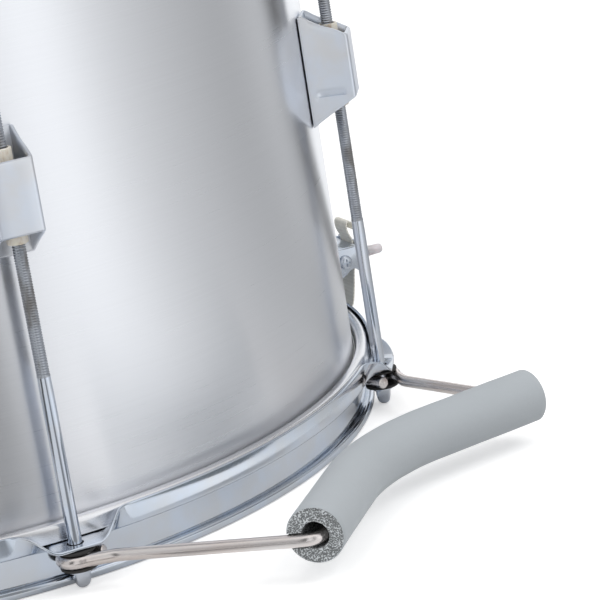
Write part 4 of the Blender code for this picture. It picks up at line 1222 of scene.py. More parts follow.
@dataclass
class Lugs:
    """The six folded lugs, each with a sleeve nut that a rod enters from either end."""

    finishes: Finishes
    half_at_shell: float = 25.8
    half_at_nose: float = 13.8
    depth: float = 21.0
    half_width: float = 9.5
    sheet: float = 1.5
    gap: float = 0.2
    slot_z: float = -12.2
    slot_from: float = 3.4
    slot_to: float = 16.8
    slot_depth: float = 0.85
    nut_shoulder: float = 8.0
    nut_end: float = 18.5
    nut_half_depth: float = 4.5
    nut_neck: float = 4.2
    nut_bore: float = 3.05

    def half_height(self, x: float, side: int) -> float:
        """Half the lug's height at that distance from the shell: a slanted, slightly hollow edge."""
        slope = self.half_at_shell + (self.half_at_nose - self.half_at_shell) * x / self.depth
        hollow = (0.9 if side > 0 else 0.3) * math.sin(math.pi * min(max(x / 15.0, 0.0), 1.0))
        corner = 1.7 * max(0.0, 1 - (x - self.gap) / 2.4) ** 2 if side > 0 else 0.0
        return slope - hollow - corner

    def outline(self, inset: float, reaches: tuple[float, float]) -> list[Point]:
        """The lug's folded outline, (x, y), that far inside its outer face."""
        low, high, wide = self.gap + inset, self.depth - inset, self.half_width - inset
        back, nose = reaches
        corners = [(low, -wide, back), (high, -wide, nose), (high, wide, nose), (low, wide, back)]
        points = rounded(corners, 5)
        dense: list[Point] = []
        counts = {5: 22, 11: 4, 17: 22, 23: 2}
        for i, here in enumerate(points):
            after = points[(i + 1) % len(points)]
            count = counts.get(i, 1)
            for k in range(count):
                s = k / count
                dense.append((here[0] + (after[0] - here[0]) * s, here[1] + (after[1] - here[1]) * s))
        return dense

    def rows(self, x: float) -> list[float]:
        """Heights of the rows at that distance from the shell, close together at the lanced slot."""
        low, high = -self.half_height(x, -1), self.half_height(x, 1)
        lower = [low + (self.slot_z - 0.12 - low) * k / 5 for k in range(6)]
        rise = [self.slot_z + 6.0 * (k / 8) ** 1.3 for k in range(9)]
        rest = [rise[-1] + (high - rise[-1]) * k / 8 for k in range(1, 9)]
        return lower + rise + rest

    def dent(self, x: float, y: float, z: float) -> float:
        """How far the cheek is pressed in at that point: a half lens above the lanced slot."""
        if abs(y) < self.half_width - 0.1 or z < self.slot_z - 0.01:
            return 0.0
        share = (x - self.slot_from) / (self.slot_to - self.slot_from)
        if not 0 < share < 1:
            return 0.0
        ends = smoothstep(share / 0.16) * smoothstep((1 - share) / 0.1)
        fade = 1 - smoothstep((z - self.slot_z) / 3.4)
        return self.slot_depth * ends * fade

    def build(self) -> None:
        """Builds the lugs and their nuts."""
        for index, phi in enumerate(GAUGE.rods, 1):
            self.lug(index, phi)
            self.nut(index, phi)

    def lug(self, index: int, phi: float) -> None:
        """One lug: a folded box, open above and below, with a lanced slot in each cheek."""
        outer = self.outline(0.0, (0.5, 1.9))
        inner = self.outline(self.sheet, (0.3, 0.7))
        grids = []
        for points, face in ((outer, 1), (inner, 0)):
            columns = []
            for x, y in points:
                column = []
                for z in self.rows(x):
                    press = self.dent(x, y, z) * face
                    column.append(Vector((x, y - math.copysign(press, y), z)))
                columns.append(column)
            grids.append([list(row) for row in zip(*columns)])
        outside, inside = grids
        ease = 0.28
        for grid, other in ((outside, inside), (inside, outside)):
            for row in (0, -1):
                toward = 1 if row == 0 else -1
                lip = [a.lerp(b, ease / self.sheet) for a, b in zip(grid[row], other[row])]
                grid[row] = [point + UP * toward * ease for point in grid[row]]
                grid.insert(0 if row == 0 else len(grid), lip)
        draft = Draft().skin(outside + list(reversed(inside)), closed=True)
        place, paint = seat(phi, GAUGE.shell_radius), (self.finishes.lug,)
        draft.make(f"lug_{index}_folded", place, paint, Body.DRUM, "lug_steel", [f"lug_{index}"], crease=50)

    def nut(self, index: int, phi: float) -> None:
        """The sleeve nut: a square body between two round necks, bored through."""
        wide = self.half_width - self.sheet - 0.4
        body = Draft().box((-self.nut_half_depth, self.nut_half_depth), (-wide, wide), (-self.nut_shoulder, self.nut_shoulder))
        body.bevel(0.7, 3)
        neck, bore, end = self.nut_neck, self.nut_bore, self.nut_end
        corners = [(bore, -end, 0.3), (neck, -end, 0.5), (neck, end, 0.5), (bore, end, 0.3)]
        loops = []
        for k in range(32):
            turn = 2 * math.pi * k / 32
            way = Vector((math.cos(turn), math.sin(turn), 0))
            loops.append([way * r + UP * z for r, z in rounded(corners, 3)])
        body.add(Draft().skin(loops, closed=True))
        place, paint = seat(phi, GAUGE.rod_circle), (self.finishes.nylon,)
        body.make(f"sleeve_nut_{index}_moulded", place, paint, Body.DRUM, "nut_plastic", [f"sleeve_nut_{index}"])


@dataclass
class KneeRest:
    """The bent wire that hooks round two lower rods, and the foam tube pushed over it."""

    finishes: Finishes
    corner_t: float = 78.0
    corner_r: float = 283.0
    corner_h: float = 141.0
    middle_r: float = 255.3
    middle_h: float = 140.7
    bend: float = 5.5
    middle_bend: float = 90.0
    eye_h: float = 145.9
    wire: float = 2.6
    eye_radius: float = 6.2
    eye_shift: float = 0.6
    eye_tip: float = 9.0
    eye_sweep: float = 235.0
    neck: float = 17.0
    foam_ends: tuple[float, float] = (-78.3, 80.2)
    foam_middle_r: float = 253.3
    foam_slope: float = 0.358
    foam_radius: float = 11.4
    foam_bore: float = 5.5
    foam_h: float = 139.4
    groove: float = 3.1
    groove_reach: tuple[float, float] = (2.0, 20.0)

    @staticmethod
    def point(t: float, r: float, h: float) -> Vector:
        """A point t across, r outward at the front and h below the middle of the shell."""
        return Vector((t, -r, -h))

    def eye(self, side: int) -> tuple[list[Vector], Vector, Vector]:
        """The open eye round a rod.

        Args:
            side: -1 for the left rod, 1 for the right.

        Returns:
            The eye's points from its cut end, the rod's place, and the way the arm leaves.
        """
        rod = self.point(side * GAUGE.rod_circle * 0.5, GAUGE.rod_circle * math.cos(math.pi / 6), self.eye_h)
        corner = self.point(side * self.corner_t, self.corner_r, self.corner_h)
        heading = (corner - rod).xy.to_3d().normalized()
        inward = Vector((-heading.y, heading.x, 0)) * -side
        centre = rod - inward * self.eye_shift
        points = [centre + inward * self.eye_radius + heading * self.eye_tip]
        for k in range(33):
            a = math.radians(k * self.eye_sweep / 32)
            points.append(centre + (inward * math.cos(a) - heading * math.sin(a)) * self.eye_radius)
        return points, rod, heading

    def path(self) -> list[Vector]:
        """The wire's centre line, from one eye to the other."""
        corners = [self.point(side * self.corner_t, self.corner_r, self.corner_h) for side in (-1, 1)]
        middle = self.point(0, self.middle_r, self.middle_h)
        halves = []
        for side, corner in zip((-1, 1), corners):
            eye, rod, heading = self.eye(side)
            neck = rod + heading * self.neck
            neck.z += (corner.z - rod.z) * 0.1
            bend = arc_corner(neck, corner, middle, self.bend, 10)
            halves.append(eye + [neck] + bend)
        centre = arc_corner(corners[0], middle, corners[1], self.middle_bend, 16)
        whole = spaced(halves[0] + centre + list(reversed(halves[1])), 1.3)
        return eased(whole, 3)

    def build(self) -> None:
        """Builds the wire and the foam."""
        path = self.path()
        wire = Draft().tube(path, self.wire, 20, chamfer=0.4)
        wire.mesh.verts.ensure_lookup_table()
        for i, vert in enumerate(wire.mesh.verts):
            turn = 2 * math.pi * (i % 20) / 20
            vert[wire.run] = (i // 20 * 1.3, math.cos(turn) * self.wire, math.sin(turn) * self.wire)
        paint = (self.finishes.wire,)
        wire.make("knee_rest_bent_wire", seat(), paint, Body.LOWER_HOOP, "stainless_wire", ["knee_rest_wire"])
        piece = self.foam()

    def foam(self) -> bpy.types.Object:
        """The foam tube, its sawn ends open where the wire's arms leave it."""
        ends = [self.point(end, self.foam_middle_r + self.foam_slope * abs(end), self.foam_h) for end in self.foam_ends]
        middle = self.point(0, self.foam_middle_r, self.foam_h)
        bend = arc_corner(ends[0], middle, ends[1], self.middle_bend, 20)
        path = eased(spaced([ends[0]] + bend + [ends[1]], 3.0), 6)
        outer = self.swell(tube_loops(path, self.foam_radius, 56), path)
        inner = tube_loops(path, self.foam_bore, 56)
        crown = [[a.lerp(b, 0.5) for a, b in zip(outer[i], inner[i])] for i in (0, -1)]
        for i, toward in ((0, 1), (-1, -1)):
            way = (path[1] - path[0]).normalized() if i == 0 else (path[-1] - path[-2]).normalized()
            edge = [a.lerp(b, 0.07) for a, b in zip(outer[i], inner[i])]
            outer[i] = [point + way * toward * 0.55 for point in outer[i]]
            outer.insert(0 if i == 0 else len(outer), edge)
        loops = [crown[0]] + outer + [crown[1]] + list(reversed(inner))
        foam = Draft().skin(loops, closed=True)
        for side in (-1, 1):
            foam.cut(Draft().skin(self.groove_loops(side)))
        for face in foam.mesh.faces:
            spot = face.calc_center_median()
            reach = min((spot - point).length for point in path)
            beyond = min((spot - end).dot(way) for end, way in ((path[0], path[1] - path[0]), (path[-1], path[-2] - path[-1])))
            face.material_index = int(reach < self.foam_radius - 0.7 or beyond < 0.05)
        paints = (self.finishes.foam, self.finishes.foam_cut)
        return foam.make("knee_rest_pad", seat(), paints, Body.LOWER_HOOP, "grey_foam", ["knee_rest_foam"], 45)

    def groove_loops(self, side: int) -> list[list[Vector]]:
        """The open groove in one end of the foam that the wire's arm lies in."""
        _, rod, _ = self.eye(side)
        corner = self.point(side * self.corner_t, self.corner_r, self.corner_h)
        arm = (rod - corner).normalized()
        leg = Vector((side, -self.foam_slope, 0))
        outward = (leg - arm * leg.dot(arm)).normalized()
        lift = arm.cross(outward)
        loops = []
        for along in self.groove_reach:
            spot = corner + arm * along
            far = spot + outward * self.groove_reach[1]
            turns = [math.pi * k / 16 for k in range(17)]
            round_side = [spot + (lift * math.cos(a) - outward * math.sin(a)) * self.groove for a in turns]
            loops.append([far + lift * self.groove] + round_side + [far - lift * self.groove])
        return loops

    @staticmethod
    def swell(loops: list[list[Vector]], path: Sequence[Vector]) -> list[list[Vector]]:
        """Makes the foam a little uneven, as a soft tube is."""
        swollen = []
        for loop, centre in zip(loops, path):
            uneven = []
            for point in loop:
                drift = noise.noise(point * 0.035) * 0.22 + noise.noise(point * 0.11) * 0.08
                uneven.append(centre + (point - centre) * (1 + drift / 11.0))
            swollen.append(uneven)
        return swollen


@dataclass
class Straps:
    """Strips of tape drawn in the frame of the butt or the strainer: x outward, z up."""

    width: float = GAUGE.strap_width
    thick: float = GAUGE.strap_thick
    wire_half: float = 150.0
    rise: tuple[Point, ...] = ((5.5, 1.4), (12.0, 6.2), (18.8, 14.5), (21.0, 25.0), (21.9, 32.0), (23.4, 34.8))

    def start(self) -> list[Point]:
        """The line from the snares' end plate, through the gate and up to the clamp."""
        under = GAUGE.flesh_top - (GAUGE.head_face + 0.3 + self.thick / 2)
        first = self.wire_half + 0.4 - GAUGE.shell_radius
        return [(first, under), (-25.0, under), (1.0, under)] + [(x, under + z) for x, z in self.rise]

    def ribbon(self, tail: Sequence[Point], columns: int = 8) -> Draft:
        """Draws the whole strip, its path smoothed and its edges rounded."""
        path = [Vector((x, 0, z)) for x, z in list(self.start()) + list(tail)]
        path = eased(spaced(path, 0.9), 5)
        draft = Draft()
        loops, runs = [], []
        half, thick = self.width / 2, self.thick / 2
        gone = 0.0
        for i, point in enumerate(path):
            gone += (point - path[i - 1]).length if i else 0.0
            ahead = (path[min(i + 1, len(path) - 1)] - path[max(i - 1, 0)]).normalized()
            normal = Vector((ahead.z, 0, -ahead.x))
            across = [-half + self.width * k / columns for k in range(columns + 1)]
            face = [(y, thick - 0.2 * (abs(y) > half - 0.1)) for y in across]
            both = face + [(y, -t) for y, t in reversed(face)]
            loops.append([point + Vector((0, y, 0)) + normal * t for y, t in both])
            runs.append([(gone, y, 0.0) for y, _ in both])
        draft.skin(loops)
        draft.mesh.verts.ensure_lookup_table()
        for vert, run in zip(draft.mesh.verts, [r for row in runs for r in row]):
            vert[draft.run] = run
        return draft


@dataclass
class Snares:
    """The strands under the snare head, soldered to a plate at each end."""

    finishes: Finishes
    half_length: float = 150.0
    count: int = 12
    spacing: float = 3.4
    radius: float = 0.8

    def build(self) -> None:
        """Builds the strands and their plates as one soldered piece."""
        height = GAUGE.head_face + 0.3 + self.radius
        half = self.count * self.spacing / 2
        draft = Draft()
        for side in (-1, 1):
            x = sorted((side * (self.half_length - 10), side * self.half_length))
            draft.box(tuple(x), (-half, half), (-height - 1.3, -height + 1.0))
        draft.bevel(0.35)
        for i in range(self.count):
            y = (i - (self.count - 1) / 2) * self.spacing
            reach = self.half_length - 8
            path = spaced([Vector((-reach, y, -height)), Vector((reach, y, -height))], 6.0)
            strand = Draft().tube(path, self.radius, 10)
            for face in strand.mesh.faces:
                face.material_index = 1
            draft.add(strand)
        paints = (self.finishes.zinc, self.finishes.strand)
        place = seat(GAUGE.snare_phi)
        draft.make("snare_strands", place, paints, Body.DRUM, "zinc_steel", ["snare_wires"])


@dataclass
class Butt:
    """The fixed anchor of the snares: bracket, jaw, clamp plate, screws with soft caps, and the strap."""

    finishes: Finishes
    straps: Straps
    cheek: float = 15.0
    sheet: float = 1.6
    top: float = 23.4
    jaw_x: float = 14.0
    jaw_z: float = 17.0
    clamp_z: float = 18.0
    screw_y: float = 8.0
    screw_z: float = 12.0
    cap_start: float = 28.9
    cap_end: float = 37.0
    cap_radius: float = 2.6
    cap_bore: float = 2.15

    def make(self, draft: Draft, name: str, paint: Finish, slot: str, node: str) -> bpy.types.Object:
        """Puts a piece in the butt's frame on the shell."""
        place = seat(GAUGE.snare_phi, GAUGE.shell_radius, -GAUGE.flesh_top)
        return draft.make(name, place, (paint,), Body.DRUM, slot, [node])

    def build(self) -> None:
        """Builds every piece."""
        self.make(self.bracket(), "butt_folded_bracket", self.finishes.zinc, "zinc_steel", "butt_bracket")
        self.make(self.jaw(), "butt_cast_jaw", self.finishes.zinc, "zinc_steel", "butt_jaw")
        inside = self.cheek - self.sheet - GAUGE.clearance
        plate = Draft().box((GAUGE.clamp_x + 1.0, GAUGE.clamp_x + 2.6), (-inside, inside), (12.6, 24.2)).bevel(0.35)
        self.make(plate, "butt_plate", self.finishes.zinc, "zinc_steel", "butt_clamp_plate")
        for index, side in enumerate((-1, 1), 1):
            y = side * GAUGE.clamp_screw_y
            self.make(self.screw(y), f"butt_stud_{index}", self.finishes.zinc, "zinc_steel", f"butt_screw_{index}")
            self.make(self.cap(y), f"butt_soft_cap_{index}", self.finishes.vinyl, "clear_vinyl", f"butt_cap_{index}")
        tail = [(GAUGE.clamp_x, 24.8), (21.2, 29.6), (21.1, 33.6), (22.3, 35.0), (24.8, 33.2), (27.4, 28.6)]
        strap = self.make(self.straps.ribbon(tail), "butt_tape", self.finishes.tape, "strap_webbing", "butt_strap")

    def bracket(self) -> Draft:
        """The folded bracket: a plate on the shell and two cheeks, fixed by two screws from inside."""
        draft = Draft().box((0.8, 2.8), (-self.cheek, self.cheek), (8, self.top))
        for side in (-1, 1):
            y = sorted((side * (self.cheek - self.sheet), side * self.cheek))
            corners = [(0.9, 8.1, 0.4), (12.6, 9.4, 2.0), (18.2, 13.4, 3.0), (21.5, 10.6, 1.0), (25.0, 10.6, 0.8)]
            corners += [(25.0, self.top - 0.1, 0.8), (0.9, self.top - 0.1, 0.4)]
            draft.plate(rounded(corners, 4), tuple(y))
        draft.bevel(0.3, 2, 60)
        for side in (-1, 1):
            y = side * self.screw_y
            draft.turn([(2.2, 1.9), (4.0, 1.9), (4.4, 1.5)], 20, (0, y, self.screw_z), "X")
        return draft

    def jaw(self) -> Draft:
        """The jaw between the cheeks, hung on a domed cross-head screw at either side."""
        inside = self.cheek - self.sheet - GAUGE.clearance
        draft = Draft().box((8.5, GAUGE.clamp_x - 1.0), (-inside, inside), (13.2, 23.6)).bevel(0.6)
        end = self.cheek + GAUGE.clearance
        for side in (-1, 1):
            dome = rounded([(end - 2.5, 2.0, 0), (end, 2.0, 0), (end, 3.6, 0.4), (end + 1.9, 3.0, 1.6), (end + 2.3, 0.05, 0)], 4, False)
            head = Draft().turn([(side * along, r) for along, r in dome], 32, (self.jaw_x, 0, self.jaw_z), "Y")
            y = tuple(sorted((side * (end + 1.2), side * (end + 4.0))))
            for long, thin in ((1.9, 0.42), (0.42, 1.9)):
                x = (self.jaw_x - long, self.jaw_x + long)
                head.cut(Draft().box(x, y, (self.jaw_z - thin, self.jaw_z + thin)))
            draft.add(head)
        return draft

    def screw(self, y: float) -> Draft:
        """A stud through the jaw and plate with a hexagon nut on it."""
        back = GAUGE.clamp_x + 3.0
        draft = Draft().turn([(17.0, 1.8), (back + 5.2, 1.8), (back + 5.5, 1.5)], 20, (0, y, self.clamp_z), "X")
        nut = Draft().turn([(back, 3.1), (back + 0.3, 3.4), (back + 1.8, 3.4), (back + 2.1, 3.1)], 6, (0, y, self.clamp_z), "X")
        return draft.add(nut.bevel(0.18))

    def cap(self, y: float) -> Draft:
        """A soft cap pushed over the stud's end, its tip rounded."""
        start, end, out, bore = self.cap_start, self.cap_end, self.cap_radius, self.cap_bore
        corners = [(end - 4.6, 0.05, 0), (end - 4.6, bore, 0.4), (start, bore, 0.2), (start, out, 0.3)]
        corners += [(end, out - 0.25, 2.0), (end, 0.05, 0)]
        return Draft().turn(rounded(corners, 6, False), 32, (0, y, self.clamp_z), "X")


@dataclass
class Strainer:
    """The throw-off: base, pin, lever with its soft tip, carriage, knob and strap clamp."""

    finishes: Finishes
    straps: Straps
    base_low: float = 14.0
    base_high: float = 78.0
    cheek_in: float = 14.0
    cheek_out: float = 16.0
    pivot_x: float = 10.0
    pivot_z: float = 66.0
    pivot_radius: float = 2.0
    crank: float = 3.0
    crank_pin: float = 1.3
    hub_half: float = 11.9
    carriage_low: float = 26.0
    carriage_high: float = 52.0
    carriage_half: float = 13.6
    arm_in: float = 12.3
    arm_top: float = 72.5
    knob_x: float = 13.0
    block_low: float = 33.0
    block_high: float = 47.0
    block_half: float = 12.0
    screw_heights: tuple[float, float] = (20.0, 70.0)

    def make(self, draft: Draft, name: str, paint: Finish, body: Body, slot: str, node: str) -> bpy.types.Object:
        """Puts a piece in the strainer's frame on the shell."""
        place = seat(GAUGE.snare_phi + 180, GAUGE.shell_radius, -GAUGE.flesh_top)
        return draft.make(name, place, (paint,), body, slot, [node])

    def build(self) -> None:
        """Builds every piece."""
        chrome, zinc = self.finishes.small, self.finishes.zinc
        self.make(self.base(), "strainer_folded_base", chrome, Body.DRUM, "chromed_steel", "strainer_base")
        self.make(self.pin(), "lever_turned_pin", chrome, Body.DRUM, "chromed_steel", "lever_pin")
        self.make(self.lever(), "strainer_pressed_lever", chrome, Body.LEVER, "chromed_steel", "strainer_lever")
        self.make(self.tip(), "lever_soft_tip", self.finishes.rubber, Body.LEVER, "black_rubber", "lever_tip")
        self.make(self.carriage(), "strainer_slide", zinc, Body.CARRIAGE, "zinc_steel", "strainer_carriage")
        self.make(self.knob(), "tension_knurled_knob", chrome, Body.KNOB, "chromed_steel", "tension_knob")
        self.clamp()
        tail = [(GAUGE.clamp_x, 47.5), (23.4, 51.0), (22.6, 54.0)]
        draft = self.straps.ribbon(tail)
        strap = self.make(draft, "strainer_tape", self.finishes.tape, Body.DRUM, "strap_webbing", "strainer_strap")
        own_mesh(strap)

    def base(self) -> Draft:
        """The folded base: a plate on the shell and two cheeks, with the ends of its two screws."""
        draft = Draft().box((0.8, 2.8), (-self.cheek_out, self.cheek_out), (self.base_low, self.base_high))
        low, high = self.base_low + 0.1, self.base_high - 0.1
        for side in (-1, 1):
            y = tuple(sorted((side * self.cheek_in, side * self.cheek_out)))
            corners = [(0.9, low, 0.4), (9, low, 2.0), (15, 24, 3.0), (15, 72, 3.0), (11, high, 2.5), (0.9, high, 0.4)]
            draft.plate(rounded(corners, 5), y)
        draft.bevel(0.35, 2, 60)
        for z in self.screw_heights:
            draft.turn([(2.2, 1.9), (2.7, 1.9), (3.0, 1.6)], 20, (0, 0, z), "X")
        return draft

    def pin(self) -> Draft:
        """The pin that the lever turns on, with a low head at either end."""
        end = self.cheek_out + GAUGE.clearance
        half = rounded([(0.0, self.pivot_radius, 0), (end, self.pivot_radius, 0), (end, 3.2, 0.25), (end + 1.2, 3.0, 0.8), (end + 1.25, 0.05, 0)], 4, False)
        profile = [(-along, r) for along, r in reversed(half)] + half[1:]
        return Draft().turn(profile, 28, (self.pivot_x, 0, self.pivot_z), "Y")

    def lever(self) -> Draft:
        """The lever: a wide hub with crank pins, and a narrower blade that sweeps out to the grip."""
        corners = [(5.4, 62.5, 2.4), (10.0, 60.6, 2.0), (14.6, 62.5, 2.4), (16.0, 68.0, 2.0), (16.4, 84.0, 6.0)]
        corners += [(21.5, 103.0, 1.4), (18.3, 104.2, 1.4), (12.6, 84.6, 6.0), (6.2, 71.0, 3.0)]
        draft = Draft().plate(rounded(corners, 5), (-self.hub_half, self.hub_half))
        waist = Draft()
        for side in (-1, 1):
            waist.box((0, 30), tuple(sorted((side * 8.0, side * 20.0))), (74, 110))
        draft.cut(waist).bevel(0.7, 3)
        pins = Draft()
        centre = (self.pivot_x + self.crank, 0, self.pivot_z + self.crank)
        half, r = self.carriage_half, self.crank_pin
        pins.turn([(-half, r - 0.25), (-half + 0.25, r), (half - 0.25, r), (half, r - 0.25)], 20, centre, "Y")
        return draft.add(pins)

    def tip(self) -> Draft:
        """The soft sleeve on the lever's end."""
        corners = [(21.0, 99.5, 1.0), (22.8, 106.3, 1.4), (17.2, 108.0, 1.4), (15.2, 100.9, 1.0)]
        draft = Draft().plate(rounded(corners, 4), (-9.4, 9.4))
        pocket = Draft().plate([(21.1, 95.0), (22.1, 103.9), (17.5, 105.2), (14.6, 95.0)], (-8.3, 8.3))
        return draft.cut(pocket).bevel(0.7, 3)

    def carriage(self) -> Draft:
        """The slide: a back plate, a shelf for the knob and two arms slotted for the crank pins."""
        half = self.carriage_half
        back = Draft().box((3.3, 6.3), (-13.5, 13.5), (self.carriage_low, self.carriage_high)).bevel(0.4)
        shelf = Draft().box((3.4, 18.0), (-half, half), (self.carriage_low + 0.1, self.carriage_low + 2.6))
        shelf.cut(Draft().turn([(self.carriage_low - 2, 2.4), (self.carriage_low + 6, 2.4)], 28, (self.knob_x, 0, 0)))
        back.add(shelf.bevel(0.3))
        slot = self.crank_pin + 0.45
        middle = self.pivot_z + self.crank
        for side in (-1, 1):
            y = tuple(sorted((side * self.arm_in, side * half)))
            arm = Draft().box((12.7, 17.9), y, (self.carriage_low + 1, self.arm_top))
            arm.cut(Draft().box((10.0, 16.1), (-20, 20), (middle - slot, middle + slot)))
            back.add(arm.bevel(0.25))
        return back

    def knob(self) -> Draft:
        """The knurled knob under the shelf and its threaded stem."""
        top = self.carriage_low - GAUGE.clearance
        rim = rounded([(top - 9.0, 0.05, 0), (top - 9.0, 6.2, 1.1), (top, 6.2, 1.1), (top, 2.0, 0)], 4, False)
        draft = Draft().turn(rim, 144, (self.knob_x, 0, 0), lobes=36, lobe_depth=0.35)
        stem = []
        for k in range(121):
            along = top - 0.5 + (41.0 - top + 0.5) * k / 120
            phase = (along / 0.7) % 1.0
            stem.append((along, 2.0 - 0.22 * (1 - abs(2 * phase - 1))))
        return draft.add(Draft().turn(stem, 16, (self.knob_x, 0, 0)))

    def clamp(self) -> None:
        """The block that rides on the knob's stem, and the plate and screws that grip the strap on it."""
        zinc = self.finishes.zinc
        half, middle = self.block_half, (self.block_low + self.block_high) / 2
        block = Draft().box((6.7, GAUGE.clamp_x - 1.0), (-half, half), (self.block_low, self.block_high))
        block.cut(Draft().turn([(self.block_low - 3, 2.4), (self.block_high - 2, 2.4)], 24, (self.knob_x, 0, 0)))
        block.bevel(0.5)
        self.make(block, "strap_clamp_cast_block", zinc, Body.STRAP_CLAMP, "zinc_steel", "strap_clamp_block")
        x = (GAUGE.clamp_x + 1.0, GAUGE.clamp_x + 2.6)
        plate = Draft().box(x, (-half, half), (self.block_low + 0.4, self.block_high - 0.4)).bevel(0.35)
        self.make(plate, "strap_clamp_cover", zinc, Body.STRAP_CLAMP, "zinc_steel", "strap_clamp_plate")
        for index, side in enumerate((-1, 1), 1):
            y = side * GAUGE.clamp_screw_y
            back = GAUGE.clamp_x + 3.0
            head = rounded([(18.0, 1.9, 0), (back, 1.9, 0), (back, 4.0, 0.3), (back + 2.2, 3.4, 1.5), (back + 2.25, 0.05, 0)], 4, False)
            screw = Draft().turn(head, 28, (0, y, middle), "X")
            slot = Draft().box((back + 1.3, back + 4), (y - 0.5, y + 0.5), (middle - 6, middle + 6))
            node = f"strap_clamp_screw_{index}"
            self.make(screw.cut(slot), f"{node}_turned", zinc, Body.STRAP_CLAMP, "zinc_steel", node)


@dataclass
class Sling:
    """The ring that the sling hooks into, and its bracket under the upper hoop."""

    finishes: Finishes
    height: float = 100.0
    pivot: float = 96.0
    ring_x: float = 6.0
    wire: float = 2.0
    half_width: float = 12.0
    depth: float = 24.0
    pin_end: float = 19.5
    screw_y: float = 12.0
    screw_rise: float = 6.0

    def build(self) -> None:
        """Builds the bracket and the ring."""
        z = self.height
        corners = [(-18, z - 12, 2.5), (18, z - 12, 2.5), (18, z + 12, 2.5), (-18, z + 12, 2.5)]
        bracket = Draft().panel(rounded(corners, 6), (0.8, 2.6)).bevel(0.3, 2, 60)
        for side in (-1, 1):
            y = tuple(sorted((side * 14.2, side * 17.0)))
            low, high = self.pivot - 3.6, self.pivot + 3.6
            ear = Draft().plate(rounded([(2.2, low, 0), (9.6, low, 2.6), (9.6, high, 2.6), (2.2, high, 0)], 6), y)
            bore = self.wire + 0.35
            ear.cut(Draft().turn([(-20, bore), (20, bore)], 24, (self.ring_x, 0, self.pivot), "Y"))
            bracket.add(ear.bevel(0.25, 2, 60))
            spot = (0, side * self.screw_y, self.height + self.screw_rise)
            bracket.turn([(2.0, 1.9), (3.3, 1.9), (3.6, 1.6)], 20, spot, "X")
        place = seat(0.0, GAUGE.shell_radius)
        paint = (self.finishes.small,)
        bracket.make("sling_folded_bracket", place, paint, Body.DRUM, "chromed_steel", ["sling_bracket"])
        wide, deep = self.half_width, self.depth
        turns = [(self.pin_end, 0), (wide, 0), (wide, -deep), (-wide, -deep), (-wide, 0), (-self.pin_end, 0)]
        corners = [Vector((0, y, z)) for y, z in turns]
        path = [corners[0]]
        for before, corner, after, radius in zip(corners, corners[1:], corners[2:], (3.0, 9.0, 9.0, 3.0)):
            path += arc_corner(before, corner, after, radius, 10)
        path.append(corners[-1])
        ring = Draft().tube(spaced(path, 2.5), self.wire, 20, chamfer=0.4)
        place = seat(0.0, GAUGE.shell_radius + self.ring_x, self.pivot)
        ring.make("sling_wire_ring", place, paint, Body.SLING_RING, "chromed_steel", ["sling_ring"])


